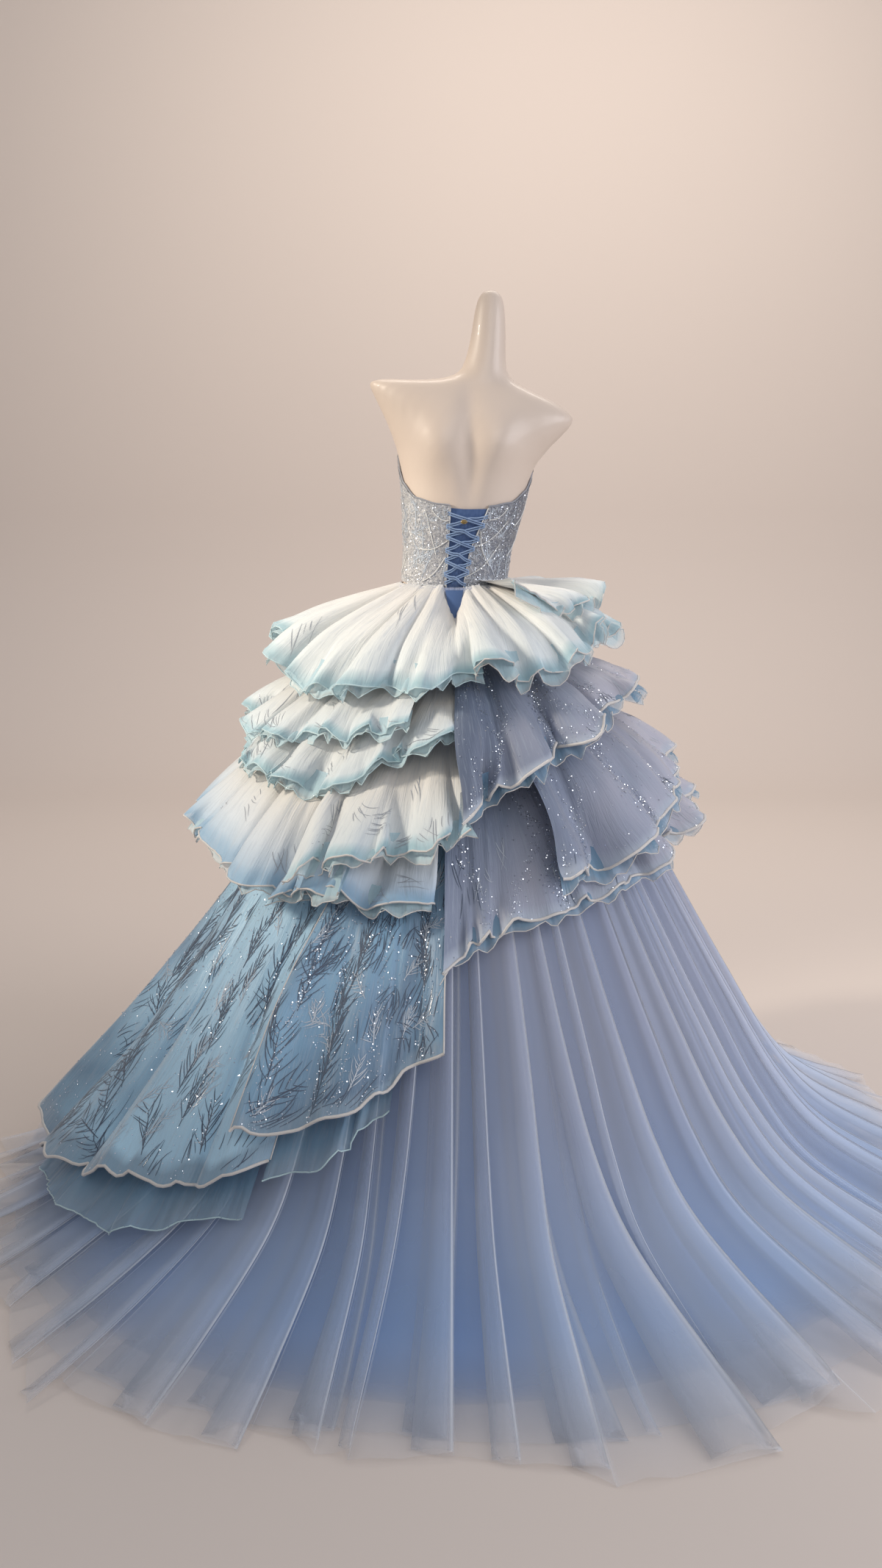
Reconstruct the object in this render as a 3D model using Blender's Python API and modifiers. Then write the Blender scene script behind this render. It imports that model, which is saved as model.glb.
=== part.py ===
"""Strapless ball gown with a laced back, tiered overskirt and long tulle train, on a limbless dress form.

Metres, +Z up. The gown's back, with its lacing and train, faces -Y, and its front faces +Y. The origin is
on the floor, at the centre of the form's round base.

Angles run round the body in degrees: 0 is the centre back (-Y), +90 the wearer's right side (+X), -90 the
left side (-X), and +-180 the centre front (+Y). A layer of cloth is a loft: its columns stand at angles
round the body, its rows run from its seam down to its hem, and Solidify gives it its thickness.
"""

import math

import bmesh
import bpy
import numpy as np

# Driving sizes
WAIST_Z = 1.19
FORM_BOTTOM_Z = 0.90
POLE_RADIUS = 0.0175
BASE_RADIUS = 0.20
BASE_THICKNESS = 0.014
COLLAR_RADIUS = 0.034
COLLAR_HEIGHT = 0.050
BUST_DEPTH = 0.030
BUST_HEIGHT = 1.395
BUST_ANGLE = 143
BUST_SPREAD = 0.055
BUST_ANGLE_SPREAD = 27

# Cloth thicknesses, and the gap that two pieces keep
CORSET_THICKNESS = 0.002
CLOTH_THICKNESS = 0.0012
TULLE_THICKNESS = 0.001
SEAM_GAP = 0.0003

# How far out from the form each worn layer starts
MODESTY_OFFSET = 0.0016
CORSET_OFFSET = 0.0042
LACE_OFFSET = 0.0090
LACE_RADIUS = 0.0015
BINDING_RADIUS = 0.0013
SKIRT_OFFSET = 0.0030
LAYER_GAP = 0.0045

# The dress form, a stack of tilted ellipses from its flat bottom up to the end of its neck
FORM_COLUMNS = ("height", "centre_x", "centre_y", "half_width", "half_depth", "slope")
FORM_SECTIONS = (
    (0.900, 0.000, 0.004, 0.146, 0.112, 0.00),
    (0.970, 0.000, 0.002, 0.158, 0.121, 0.00),
    (1.060, 0.000, 0.000, 0.138, 0.107, 0.00),
    (1.130, 0.000, 0.000, 0.112, 0.091, 0.00),
    (1.190, 0.001, 0.000, 0.101, 0.083, 0.00),
    (1.250, 0.007, 0.003, 0.1035, 0.086, -0.01),
    (1.320, 0.016, 0.008, 0.115, 0.094, -0.04),
    (1.350, 0.019, 0.009, 0.119, 0.096, -0.055),
    (1.380, 0.0215, 0.010, 0.1235, 0.098, -0.07),
    (1.405, 0.0225, 0.010, 0.130, 0.098, -0.095),
    (1.430, 0.024, 0.009, 0.138, 0.097, -0.12),
    (1.452, 0.026, 0.0065, 0.150, 0.094, -0.14),
    (1.475, 0.028, 0.004, 0.163, 0.090, -0.16),
    (1.515, 0.033, 0.000, 0.192, 0.079, -0.177),
    (1.540, 0.0345, -0.002, 0.206, 0.064, -0.177),
    (1.556, 0.036, -0.003, 0.172, 0.054, -0.145),
    (1.566, 0.038, -0.003, 0.122, 0.049, -0.100),
    (1.575, 0.046, -0.002, 0.078, 0.047, -0.060),
    (1.586, 0.055, 0.000, 0.054, 0.046, -0.030),
    (1.600, 0.059, 0.001, 0.0430, 0.044, -0.010),
    (1.630, 0.0635, 0.003, 0.0375, 0.040, 0.00),
    (1.656, 0.0665, 0.005, 0.0345, 0.037, 0.00),
    (1.704, 0.0695, 0.007, 0.0305, 0.032, 0.00),
    (1.733, 0.0705, 0.008, 0.0245, 0.025, 0.00),
    (1.746, 0.0705, 0.008, 0.014, 0.014, 0.00),
)
FORM_TOP_Z = 1.750
FORM_AROUND = 36

# The bodice's top edge and waist seam: their height at angles from the centre back
NECKLINE_ANGLES = (0, 25, 50, 75, 95, 120, 140, 160, 180)
NECKLINE_HEIGHTS = (1.334, 1.336, 1.345, 1.370, 1.398, 1.435, 1.452, 1.445, 1.415)
WAIST_SEAM_ANGLES = (0, 40, 90, 180)
WAIST_SEAM_HEIGHTS = (1.178, 1.181, 1.190, 1.186)

# The laced opening at the centre back: its two edges at heights, in degrees round the body
OPENING_HEIGHTS = (1.175, 1.250, 1.334)
OPENING_LEFT = (-9.0, -10.0, -12.0)
OPENING_RIGHT = (9.5, 13.0, 24.0)
LACE_RUNGS = 6
LACE_LIFT = 0.0042
LACE_STAGGER = 0.0036
LACING_TOP_GAP = 0.010
LACING_BOTTOM_GAP = 0.012
EYELET_ANGLE = 1.5
BEAD_ANGLE = 2.0
BEAD_Z = 1.306
BEAD_RADIUS = 0.0045
BEAD_STRETCH = (1.5, 0.75, 1.0)
BEAD_OFFSET = 0.0195
BASQUE_TIP_Z = 1.112
BASQUE_HALF_ANGLE = 13.0
BASQUE_TIP_GAP = 0.002

# Bodice panels between the seams. An edge that is None follows the laced opening.
CORSET_COLUMNS = ("name", "first", "last", "columns", "rows")
CORSET_PANELS = (
    ("bodice_back_left", -62, None, 6, 6),
    ("bodice_side_left", -108, -62, 5, 6),
    ("bodice_front_left", -160, -108, 7, 9),
    ("bodice_front_centre", 160, 200, 5, 9),
    ("bodice_front_right", 108, 160, 7, 9),
    ("bodice_side_right", 62, 108, 5, 6),
    ("bodice_back_right", None, 62, 6, 6),
)

# The piping's steps over a back panel, a side, a front and half the centre front, as their columns go
BINDING_STEPS = (5, 4, 6, 2)

# The skirt's cone: how fast it widens below the waist at angles round the body, and where each hem lies
CONE_ANGLES = (-180, -135, -90, -45, 0, 45, 90, 135, 180)
CONE_SLOPES = (0.49, 0.475, 0.455, 0.535, 0.605, 0.580, 0.535, 0.50, 0.49)
HEM_ANGLES = (-180, -140, -100, -75, -50, -30, 0, 25, 45, 70, 100, 140, 180)
UNDERSKIRT_HEM = (0.78, 0.78, 0.80, 0.86, 0.95, 1.01, 1.02, 1.00, 0.98, 0.93, 0.86, 0.80, 0.78)
INNER_TULLE_HEM = (0.82, 0.82, 0.85, 0.90, 1.00, 1.09, 1.11, 1.12, 1.09, 1.02, 0.92, 0.84, 0.82)
OUTER_TULLE_HEM = (0.86, 0.86, 0.89, 0.94, 1.06, 1.18, 1.20, 1.22, 1.16, 1.09, 0.98, 0.88, 0.86)
FLARE_HEIGHT = 0.050

# Skirt layers from the inside out: hem radii, folds round the body, greatest fold depth, columns, rows
SKIRT_COLUMNS = ("name", "hem", "folds", "depth", "columns", "rows", "thickness", "material")
SKIRT_LAYERS = (
    ("underskirt", UNDERSKIRT_HEM, 14, 0.010, 9, 7, CLOTH_THICKNESS, "underskirt"),
    ("tulle_inner", INNER_TULLE_HEM, 16, 0.012, 11, 7, TULLE_THICKNESS, "tulle_inner"),
    ("tulle_outer", OUTER_TULLE_HEM, 20, 0.022, 16, 7, TULLE_THICKNESS, "tulle_outer"),
)
GORES = (("back_left", -90, 0), ("back_right", 0, 90), ("front_right", 90, 180), ("front_left", 180, 270))
GORE_INSET = 0.04

# Overskirt tiers from the inside out. Each row gives the first and last angle, the height of the seam that
# the tier hangs from, its flutes round the whole body and their depth, how round it stands (1 is straight
# and less is rounder), its columns and rows, its material, and its hem as (angle, height, radius).
TIER_COLUMNS = (
    "name", "first", "last", "seam", "flutes", "depth", "round", "columns", "rows", "material", "hem",
)
TIERS = (
    ("train_panel_underlay", -128, -27, 0.560, 15, 0.016, 0.90, 20, 2, "organza",
     ((-128, 0.230, 0.600), (-90, 0.110, 0.680), (-71, 0.065, 0.770), (-48, 0.085, 0.810),
      (-27, 0.150, 0.800))),
    ("train_panel", -150, -25, 0.800, 16, 0.014, 1.00, 24, 4, "panel_blue",
     ((-150, 0.520, 0.430), (-120, 0.300, 0.560), (-90, 0.160, 0.665), (-71, 0.100, 0.760),
      (-55, 0.130, 0.785), (-44, 0.168, 0.790), (-33, 0.178, 0.790), (-25, 0.235, 0.765))),
    ("cascade_underlay", -25, -9, 0.560, 16, 0.012, 0.90, 7, 2, "organza",
     ((-25, 0.215, 0.775), (-18, 0.250, 0.760), (-9, 0.345, 0.705))),
    ("cascade_panel", -26, -1.5, 0.780, 13, 0.022, 0.85, 12, 3, "panel_blue",
     ((-26, 0.285, 0.765), (-19, 0.325, 0.745), (-12, 0.360, 0.725), (-6, 0.405, 0.695),
      (-1.5, 0.435, 0.675))),
    ("tier4_right", -2.5, 179.9, 0.850, 15, 0.022, 0.80, 31, 2, "tier_grey",
     ((-2.5, 0.540, 0.590), (3, 0.590, 0.560), (18, 0.635, 0.530), (39, 0.660, 0.515),
      (63, 0.715, 0.485), (90, 0.750, 0.470), (130, 0.690, 0.490), (180, 0.640, 0.510))),
    ("tier4_left", -36, -4, 0.840, 15, 0.018, 0.80, 11, 2, "tier_white",
     ((-36, 0.645, 0.545), (-24, 0.670, 0.540), (-12, 0.650, 0.545), (-4, 0.645, 0.545))),
    ("tier3_left", -179.9, -20, 0.950, 15, 0.024, 0.72, 29, 2, "tier_white",
     ((-180, 0.680, 0.490), (-130, 0.690, 0.500), (-90, 0.720, 0.512), (-69, 0.706, 0.515),
      (-50, 0.678, 0.545), (-34, 0.655, 0.570), (-20, 0.680, 0.560))),
    ("tier3_right", 20, 179.9, 0.960, 15, 0.018, 0.78, 27, 2, "tier_grey",
     ((20, 0.690, 0.520), (30, 0.692, 0.515), (48, 0.733, 0.490), (71, 0.795, 0.450),
      (95, 0.815, 0.435), (140, 0.780, 0.430), (180, 0.750, 0.435))),
    ("tier3_left_frill", -31, 2, 0.930, 20, 0.018, 0.75, 13, 2, "tier_white",
     ((-31, 0.695, 0.580), (-22, 0.730, 0.565), (-12, 0.745, 0.550), (-3, 0.765, 0.530),
      (2, 0.770, 0.515))),
    ("tier2_left_frill", -179.9, 1, 1.010, 15, 0.018, 0.75, 29, 2, "tier_white",
     ((-180, 0.860, 0.380), (-90, 0.850, 0.425), (-52, 0.838, 0.450), (-34, 0.822, 0.460),
      (-24, 0.850, 0.445), (-13, 0.905, 0.420), (1, 0.930, 0.405))),
    ("tier2_right", 0, 179.9, 1.060, 15, 0.022, 0.75, 30, 2, "tier_grey",
     ((0, 0.800, 0.455), (8, 0.830, 0.440), (18, 0.860, 0.425), (34, 0.905, 0.400),
      (48, 0.950, 0.375), (74, 0.972, 0.360), (100, 0.965, 0.365), (140, 0.930, 0.360),
      (180, 0.900, 0.365))),
    ("tier2_left", -179.9, -12, 1.060, 15, 0.020, 0.68, 28, 2, "tier_white",
     ((-180, 0.930, 0.345), (-130, 0.920, 0.375), (-90, 0.908, 0.415), (-53, 0.893, 0.420),
      (-40, 0.925, 0.405), (-22, 0.928, 0.412), (-12, 0.945, 0.405))),
    ("peplum_left", -179.9, 4.5, 1.172, 15, 0.022, 0.60, 30, 2, "peplum_white",
     ((-180, 1.030, 0.300), (-130, 1.040, 0.335), (-90, 1.078, 0.368), (-68, 1.020, 0.365),
      (-45, 0.994, 0.378), (-30, 1.002, 0.368), (-10, 1.008, 0.360), (4.5, 1.040, 0.335))),
    ("peplum_right", 5.5, 179.9, 1.172, 15, 0.022, 0.60, 29, 2, "peplum_white",
     ((5.5, 1.050, 0.325), (25, 1.024, 0.345), (47, 1.062, 0.325), (65, 1.088, 0.310),
      (95, 1.085, 0.320), (140, 1.050, 0.310), (180, 1.030, 0.300))),
    ("peplum_frill", 32, 112, 1.184, 26, 0.014, 0.42, 18, 2, "peplum_white",
     ((32, 1.160, 0.215), (50, 1.145, 0.255), (75, 1.140, 0.285), (95, 1.145, 0.275),
      (112, 1.160, 0.225))),
)
MARGIN_ANGLE = 6.5
MARGIN_Z = 0.020

MATERIALS = {
    "form_shell": ((0.90, 0.86, 0.80), 0.45, 0.0),
    "stand_steel": ((0.62, 0.62, 0.64), 0.30, 1.0),
    "corset_lace": ((0.66, 0.68, 0.72), 0.45, 0.2),
    "corset_blue": ((0.16, 0.27, 0.47), 0.50, 0.0),
    "corset_binding": ((0.16, 0.18, 0.24), 0.55, 0.0),
    "satin_cord": ((0.42, 0.56, 0.78), 0.35, 0.0),
    "amber_bead": ((0.45, 0.28, 0.06), 0.15, 0.0),
    "underskirt": ((0.30, 0.47, 0.74), 0.50, 0.0),
    "tulle_inner": ((0.50, 0.63, 0.83), 0.80, 0.0),
    "tulle_outer": ((0.66, 0.73, 0.86), 0.80, 0.0),
    "organza": ((0.42, 0.58, 0.70), 0.40, 0.0),
    "panel_blue": ((0.30, 0.46, 0.62), 0.45, 0.1),
    "tier_grey": ((0.44, 0.50, 0.62), 0.45, 0.1),
    "tier_white": ((0.88, 0.88, 0.84), 0.50, 0.0),
    "peplum_white": ((0.90, 0.90, 0.88), 0.50, 0.0),
}


def clear_scene():
    for found in list(bpy.data.objects):
        bpy.data.objects.remove(found)


def make_collection(name):
    collection = bpy.data.collections.new(name)
    bpy.context.scene.collection.children.link(collection)
    return collection


def make_materials():
    made = {}
    for name, (colour, roughness, metallic) in MATERIALS.items():
        material = bpy.data.materials.new(name)
        material.use_nodes = True
        shader = material.node_tree.nodes["Principled BSDF"]
        shader.inputs["Base Color"].default_value = (*colour, 1)
        shader.inputs["Roughness"].default_value = roughness
        shader.inputs["Metallic"].default_value = metallic
        made[name] = material
    return made


def smooth_steps(at, places, values):
    """Values read between places with an S-shaped step from each to the next, so that it has no corners."""
    places, values = np.asarray(places, float), np.asarray(values, float)
    at = np.clip(at, places[0], places[-1])
    left = np.clip(np.searchsorted(places, at, side="right") - 1, 0, len(places) - 2)
    share = (at - places[left]) / (places[left + 1] - places[left])
    share = 0.35 * share + 0.65 * share * share * (3 - 2 * share)
    return values[left] * (1 - share) + values[left + 1] * share


def turned(angle):
    """Angles brought to -180..180."""
    return (np.asarray(angle, float) + 180) % 360 - 180


def grid(first, last, columns, rows):
    """Angles and shares down, for the points of a loft."""
    return np.meshgrid(np.linspace(first, last, columns), np.linspace(0, 1, rows))


def around(angle, radius, z):
    """Points at angles round the origin's axis."""
    turn = np.radians(angle)
    return np.stack([radius * np.sin(turn), -radius * np.cos(turn), z], -1)


def form_column(height, column):
    """One column of the form's table, read at heights."""
    rows = np.array(FORM_SECTIONS)
    return np.interp(height, rows[:, 0], rows[:, FORM_COLUMNS.index(column)])


def bust(angle, height):
    """How far the two cups stand out of the ellipse."""
    from_cup = np.abs(np.abs(turned(angle)) - BUST_ANGLE) / BUST_ANGLE_SPREAD
    from_height = (height - BUST_HEIGHT) / BUST_SPREAD
    return BUST_DEPTH * np.exp(-(from_cup**2) - from_height**2)


def form_point(angle, height, out=0.0):
    """Points on the form, or this far out from it."""
    angle, height = np.broadcast_arrays(np.asarray(angle, float), np.asarray(height, float))
    turn = np.radians(angle)
    across, depth = form_column(height, "half_width"), form_column(height, "half_depth")
    away = np.stack([np.sin(turn) / across, -np.cos(turn) / depth], -1)
    away = away / np.linalg.norm(away, axis=-1, keepdims=True)
    shift = (bust(angle, height) + out)[..., None] * away
    x = across * np.sin(turn)
    y = -depth * np.cos(turn)
    z = height + form_column(height, "slope") * x
    x = form_column(height, "centre_x") + x + shift[..., 0]
    y = form_column(height, "centre_y") + y + shift[..., 1]
    return np.stack([x, y, z], -1)


def waist_radius(angle):
    """From the origin's axis to the form's waist."""
    turn = np.radians(angle)
    across, depth = form_column(WAIST_Z, "half_width"), form_column(WAIST_Z, "half_depth")
    return across * depth / np.hypot(depth * np.sin(turn), across * np.cos(turn))


def fold_wave(angle, count, seed):
    """Folds of uneven width round the body, from 0 in a trough to 1 on a crest."""
    turn = np.radians(angle)
    drift = 0.9 * np.sin(2 * turn + seed) + 0.6 * np.sin(5 * turn + 2.3 * seed)
    drift = drift + 0.35 * np.sin(9 * turn + 4.1 * seed)
    size = 0.80 + 0.20 * np.sin(3 * turn + 1.7 * seed)
    return size * (0.5 + 0.5 * np.cos(count * turn + drift + seed))


# The skirt


def cone_radius(angle, z):
    slope = smooth_steps(turned(angle), CONE_ANGLES, CONE_SLOPES)
    return waist_radius(angle) + SKIRT_OFFSET + slope * (WAIST_Z - z)


def skirt_depth(down, greatest):
    """How deep the folds are, from the gathers at the waist, down 0, to the hem on the floor, down 1."""
    return 0.001 + (greatest - 0.001) * np.interp(down, (0, 0.35, 0.75, 1), (0, 0.55, 1, 0.35))


def skirt_stack(down, layer):
    """How far a skirt layer stands off the cone, clear of the layers inside it."""
    off = np.zeros_like(down)
    for inner in SKIRT_LAYERS[:layer]:
        clear = LAYER_GAP * np.interp(down, (0, 0.2, 1), (0.35, 1, 1))
        off = off + skirt_depth(down, inner[SKIRT_COLUMNS.index("depth")]) + clear
    return off * np.interp(down, (0, 0.80, 1), (1, 1, 0.05))


def skirt_point(layer, angle, down, fold=fold_wave):
    """Points of a skirt layer at angles, from the waist, down 0, to the hem, down 1."""
    row = dict(zip(SKIRT_COLUMNS, SKIRT_LAYERS[layer]))
    z = (WAIST_Z - 0.014) * (1 - down) ** 2
    spread = smooth_steps(turned(angle), HEM_ANGLES, row["hem"]) - cone_radius(angle, 0.0)
    flare = spread * np.exp(-z / FLARE_HEIGHT)
    steep = smooth_steps(turned(angle), CONE_ANGLES, CONE_SLOPES) + flare / FLARE_HEIGHT
    off = skirt_stack(down, layer) + skirt_depth(down, row["depth"]) * fold(angle, row["folds"], layer + 1.0)
    length = np.sqrt(1 + steep**2)
    radius = cone_radius(angle, z) + flare + off / length
    return around(angle, radius, z + off * steep / length)


def skirt_reach(angle, z):
    """The radius that clears the outer tulle at a height, wherever its folds lie."""
    angle, z = np.broadcast_arrays(np.asarray(angle, float), np.asarray(z, float))
    outer = len(SKIRT_LAYERS) - 1
    down = np.linspace(0, 1, SKIRT_LAYERS[outer][SKIRT_COLUMNS.index("rows")] + 1)
    reach = np.empty(angle.shape)
    for one in np.unique(angle):
        turn = np.full_like(down, one)
        crest = skirt_point(outer, turn, down, lambda turn, folds, seed: np.ones_like(turn))
        radius = np.hypot(crest[:, 0], crest[:, 1]) + TULLE_THICKNESS * 1.6
        here = angle == one
        reach[here] = np.interp(z[here], crest[::-1, 2], radius[::-1])
    return reach


# The tiers


def tier_hem(tier, angle):
    """A tier's hem, as its height and its radius at angles."""
    keys = np.array(tier["hem"], float)
    return smooth_steps(angle, keys[:, 0], keys[:, 1]), smooth_steps(angle, keys[:, 0], keys[:, 2])


def seam_height(tier, angle):
    """The height of the seam that a tier hangs from. The peplum's seam follows the basque's point."""
    from_centre = np.clip(1 - np.abs(turned(angle)) / BASQUE_HALF_ANGLE, 0, 1)
    if tier["name"] not in ("peplum_left", "peplum_right"):
        return tier["seam"] + 0 * from_centre
    return tier["seam"] - (tier["seam"] - BASQUE_TIP_Z + BASQUE_TIP_GAP) * from_centre


def tier_design(tier, angle, z):
    """The radius that a tier would have with nothing under it."""
    hem_z, hem_radius = tier_hem(tier, angle)
    top_z = seam_height(tier, angle)
    share = np.clip((top_z - z) / (top_z - hem_z), 0, 1)
    start = skirt_reach(angle, top_z)
    flute = tier["depth"] * 2 * (fold_wave(angle, tier["flutes"], tier["seam"] * 7) - 0.5) * share**1.3
    return start + (hem_radius - start) * share ** tier["round"] + flute


def worn_radius(worn, angle, z):
    """The radius that clears the skirt and the tiers already on it, kept as their angles, heights, radii."""
    reach = skirt_reach(angle, z)
    for angles, heights, radii in worn:
        level = np.empty(angle.shape)
        outward = np.empty(angle.shape)
        for place, one in np.ndenumerate(angle):
            column = np.clip((one - angles[0]) / (angles[-1] - angles[0]), 0, 1) * (len(angles) - 1)
            left = min(int(column), len(angles) - 2)
            rows = heights[:, left : left + 2] @ (left + 1 - column, column - left)
            radius = radii[:, left : left + 2] @ (left + 1 - column, column - left)
            outward[place] = np.interp(z[place], rows[::-1], radius[::-1])
            beside = angles[0] - MARGIN_ANGLE < one < angles[-1] + MARGIN_ANGLE
            inside = beside and rows[-1] - MARGIN_Z < z[place] < rows[0] + LAYER_GAP
            level[place] = outward[place] if inside else 0
        reach = np.maximum(reach, level + CLOTH_THICKNESS)
    return reach


def tier_grid(tier, worn):
    """A tier's angles, heights and radii, in rows from its seam to its hem, clear of what it lies on."""
    angle, down = grid(tier["first"], tier["last"], tier["columns"], tier["rows"] + 1)
    hem_z, _ = tier_hem(tier, angle)
    top_z = seam_height(tier, angle)
    z = top_z + (hem_z - top_z) * down
    half = (tier["last"] - tier["first"]) / (tier["columns"] - 1) / 2
    need = LAYER_GAP + np.max([worn_radius(worn, angle + turn, z) for turn in (-half, 0, half)], 0)
    radius = np.maximum(tier_design(tier, angle, z), need)
    for row in range(tier["rows"]):
        short = 0
        for share in (0.25, 0.5, 0.75):
            between = z[row] + (z[row + 1] - z[row]) * share
            chord = radius[row] + (radius[row + 1] - radius[row]) * share
            short = np.maximum(short, worn_radius(worn, angle[row], between) + LAYER_GAP - chord)
        radius[row : row + 2] += short
    return angle[0], z, radius


# Making objects


def loft(name, points, material, collection, thickness):
    """A wall of cloth through a grid of points, rows from top to bottom and columns by rising angle."""
    rows, columns = points.shape[:2]
    faces = [
        (r * columns + c, (r + 1) * columns + c, (r + 1) * columns + c + 1, r * columns + c + 1)
        for r in range(rows - 1)
        for c in range(columns - 1)
    ]
    mesh = bpy.data.meshes.new(name)
    mesh.from_pydata(points.reshape(-1, 3).tolist(), [], faces)
    mesh.materials.append(material)
    piece = bpy.data.objects.new(name, mesh)
    collection.objects.link(piece)
    wall = piece.modifiers.new("thickness", "SOLIDIFY")
    wall.thickness = thickness
    wall.offset = 1
    mesh.shade_smooth()
    return piece


def add_form(materials, collection):
    """The dress form: a closed loft with a flat bottom and a rounded neck."""
    heights = np.array([row[0] for row in FORM_SECTIONS])
    angles = np.arange(FORM_AROUND) * 360 / FORM_AROUND
    mesh = bpy.data.meshes.new("form_torso")
    shape = bmesh.new()
    rings = [[shape.verts.new(p) for p in form_point(angles, np.full_like(angles, h))] for h in heights]
    for low, high in zip(rings, rings[1:]):
        for a in range(FORM_AROUND):
            b = (a + 1) % FORM_AROUND
            shape.faces.new((low[a], low[b], high[b], high[a]))
    shape.faces.new(reversed(rings[0]))
    end = [form_column(FORM_TOP_Z, "centre_x"), form_column(FORM_TOP_Z, "centre_y"), FORM_TOP_Z]
    neck = shape.verts.new(end)
    for a in range(FORM_AROUND):
        shape.faces.new((rings[-1][a], rings[-1][(a + 1) % FORM_AROUND], neck))
    shape.to_mesh(mesh)
    shape.free()
    mesh.shade_smooth()
    mesh.materials.append(materials["form_shell"])
    collection.objects.link(bpy.data.objects.new("form_torso", mesh))


def add_turned(name, radius, low, high, material, collection, bevel=0.0):
    """An upright round piece of the stand."""
    middle = (0, 0, (low + high) / 2)
    bpy.ops.mesh.primitive_cylinder_add(vertices=32, radius=radius, depth=high - low, location=middle)
    piece = bpy.context.object
    piece.name = name
    piece.data.materials.append(material)
    if bevel:
        edge = piece.modifiers.new("edge", "BEVEL")
        edge.width = bevel
        edge.segments = 2
    for old in piece.users_collection:
        old.objects.unlink(piece)
    collection.objects.link(piece)


def add_stand(materials, collection):
    steel = materials["stand_steel"]
    collar_top = BASE_THICKNESS + SEAM_GAP + COLLAR_HEIGHT
    add_turned("stand_base", BASE_RADIUS, 0, BASE_THICKNESS, steel, collection, 0.004)
    add_turned("stand_collar", COLLAR_RADIUS, BASE_THICKNESS + SEAM_GAP, collar_top, steel, collection, 0.006)
    add_turned("stand_pole", POLE_RADIUS, collar_top + SEAM_GAP, FORM_BOTTOM_Z - SEAM_GAP, steel, collection)


def neckline(angle):
    return smooth_steps(np.abs(turned(angle)), NECKLINE_ANGLES, NECKLINE_HEIGHTS)


def waist_seam(angle):
    return smooth_steps(np.abs(turned(angle)), WAIST_SEAM_ANGLES, WAIST_SEAM_HEIGHTS)


def corset_point(first, last, across, down, out):
    """Points of a bodice panel. An edge that is None follows the laced opening."""
    across, down = np.broadcast_arrays(across, down)

    def edge(angle, table, inset):
        if angle is not None:
            return np.full_like(down, angle + inset)
        height = neckline(0) + (waist_seam(0) - neckline(0)) * down
        return np.interp(height, OPENING_HEIGHTS, table)

    inset = math.degrees(SEAM_GAP / form_column(WAIST_Z, "half_depth"))
    left = edge(first, OPENING_RIGHT, inset)
    right = edge(last, OPENING_LEFT, -inset)
    angle = left + (right - left) * across
    height = neckline(angle) + (waist_seam(angle) + SEAM_GAP - neckline(angle)) * down
    return form_point(angle, height, out)


def add_bodice(materials, collection):
    for name, first, last, columns, rows in CORSET_PANELS:
        across, down = grid(0, 1, columns, rows)
        points = corset_point(first, last, across, down, CORSET_OFFSET)
        loft(name, points, materials["corset_lace"], collection, CORSET_THICKNESS)
    angle, down = grid(OPENING_LEFT[2] - 6, OPENING_RIGHT[2] + 6, 7, 5)
    height = neckline(angle) - 0.004 + (waist_seam(angle) + 0.004 - neckline(angle)) * down
    points = form_point(angle, height, MODESTY_OFFSET)
    loft("modesty_panel", points, materials["corset_blue"], collection, TULLE_THICKNESS)


def add_basque(materials, collection):
    """The narrow point below the lacing, over the skirt's gathers and between the two peplum halves."""
    across, down = grid(-1, 1, 3, 4)
    angle = across * (BASQUE_HALF_ANGLE - 3.5) * (1 - 0.9 * down)
    height = WAIST_SEAM_HEIGHTS[0] - 0.004 + (BASQUE_TIP_Z - WAIST_SEAM_HEIGHTS[0]) * down
    radius = skirt_reach(angle, height) + SEAM_GAP
    loft("basque_point", around(angle, radius, height), materials["corset_blue"], collection, CLOTH_THICKNESS)


def tube(name, points, radius, material, collection):
    """A cord or a binding along points."""
    curve = bpy.data.curves.new(name, "CURVE")
    curve.dimensions = "3D"
    curve.bevel_depth = radius
    curve.bevel_resolution = 1
    curve.use_fill_caps = True
    line = curve.splines.new("POLY")
    line.points.add(len(points) - 1)
    for place, p in zip(line.points, points):
        place.co = (*p, 1)
    curve.materials.append(material)
    cord = bpy.data.objects.new(name, curve)
    collection.objects.link(cord)


def lace_path(start_side, over_first):
    """A lace that crosses the opening from rung to rung, over the other lace at every second crossing."""
    top, bottom = OPENING_HEIGHTS[2] - LACING_TOP_GAP, OPENING_HEIGHTS[0] + LACING_BOTTOM_GAP
    points = []
    for rung in range(LACE_RUNGS):
        side = start_side if rung % 2 == 0 else -start_side
        ends = [top + (bottom - top) * (rung + k) / LACE_RUNGS for k in (0.06, 0.94)]
        edges = {-1: OPENING_LEFT, 1: OPENING_RIGHT}
        sides = (side, -side)
        angles = [np.interp(h, OPENING_HEIGHTS, edges[s]) + s * EYELET_ANGLE for h, s in zip(ends, sides)]
        over = (rung % 2 == 0) == over_first
        lift = LACE_LIFT if over else 0.0
        for share, raised in ((0, 0.0), (0.5, lift), (1, 0.0)):
            angle = angles[0] + (angles[1] - angles[0]) * share
            height = ends[0] + (ends[1] - ends[0]) * share
            stagger = 0.0 if start_side < 0 or share == 0.5 else LACE_STAGGER
            points.append(form_point(angle, height - stagger, LACE_OFFSET + raised))
    return points


def add_lacing(materials, collection):
    for name, side in (("lace_left", -1), ("lace_right", 1)):
        tube(name, lace_path(side, side < 0), LACE_RADIUS, materials["satin_cord"], collection)


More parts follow.
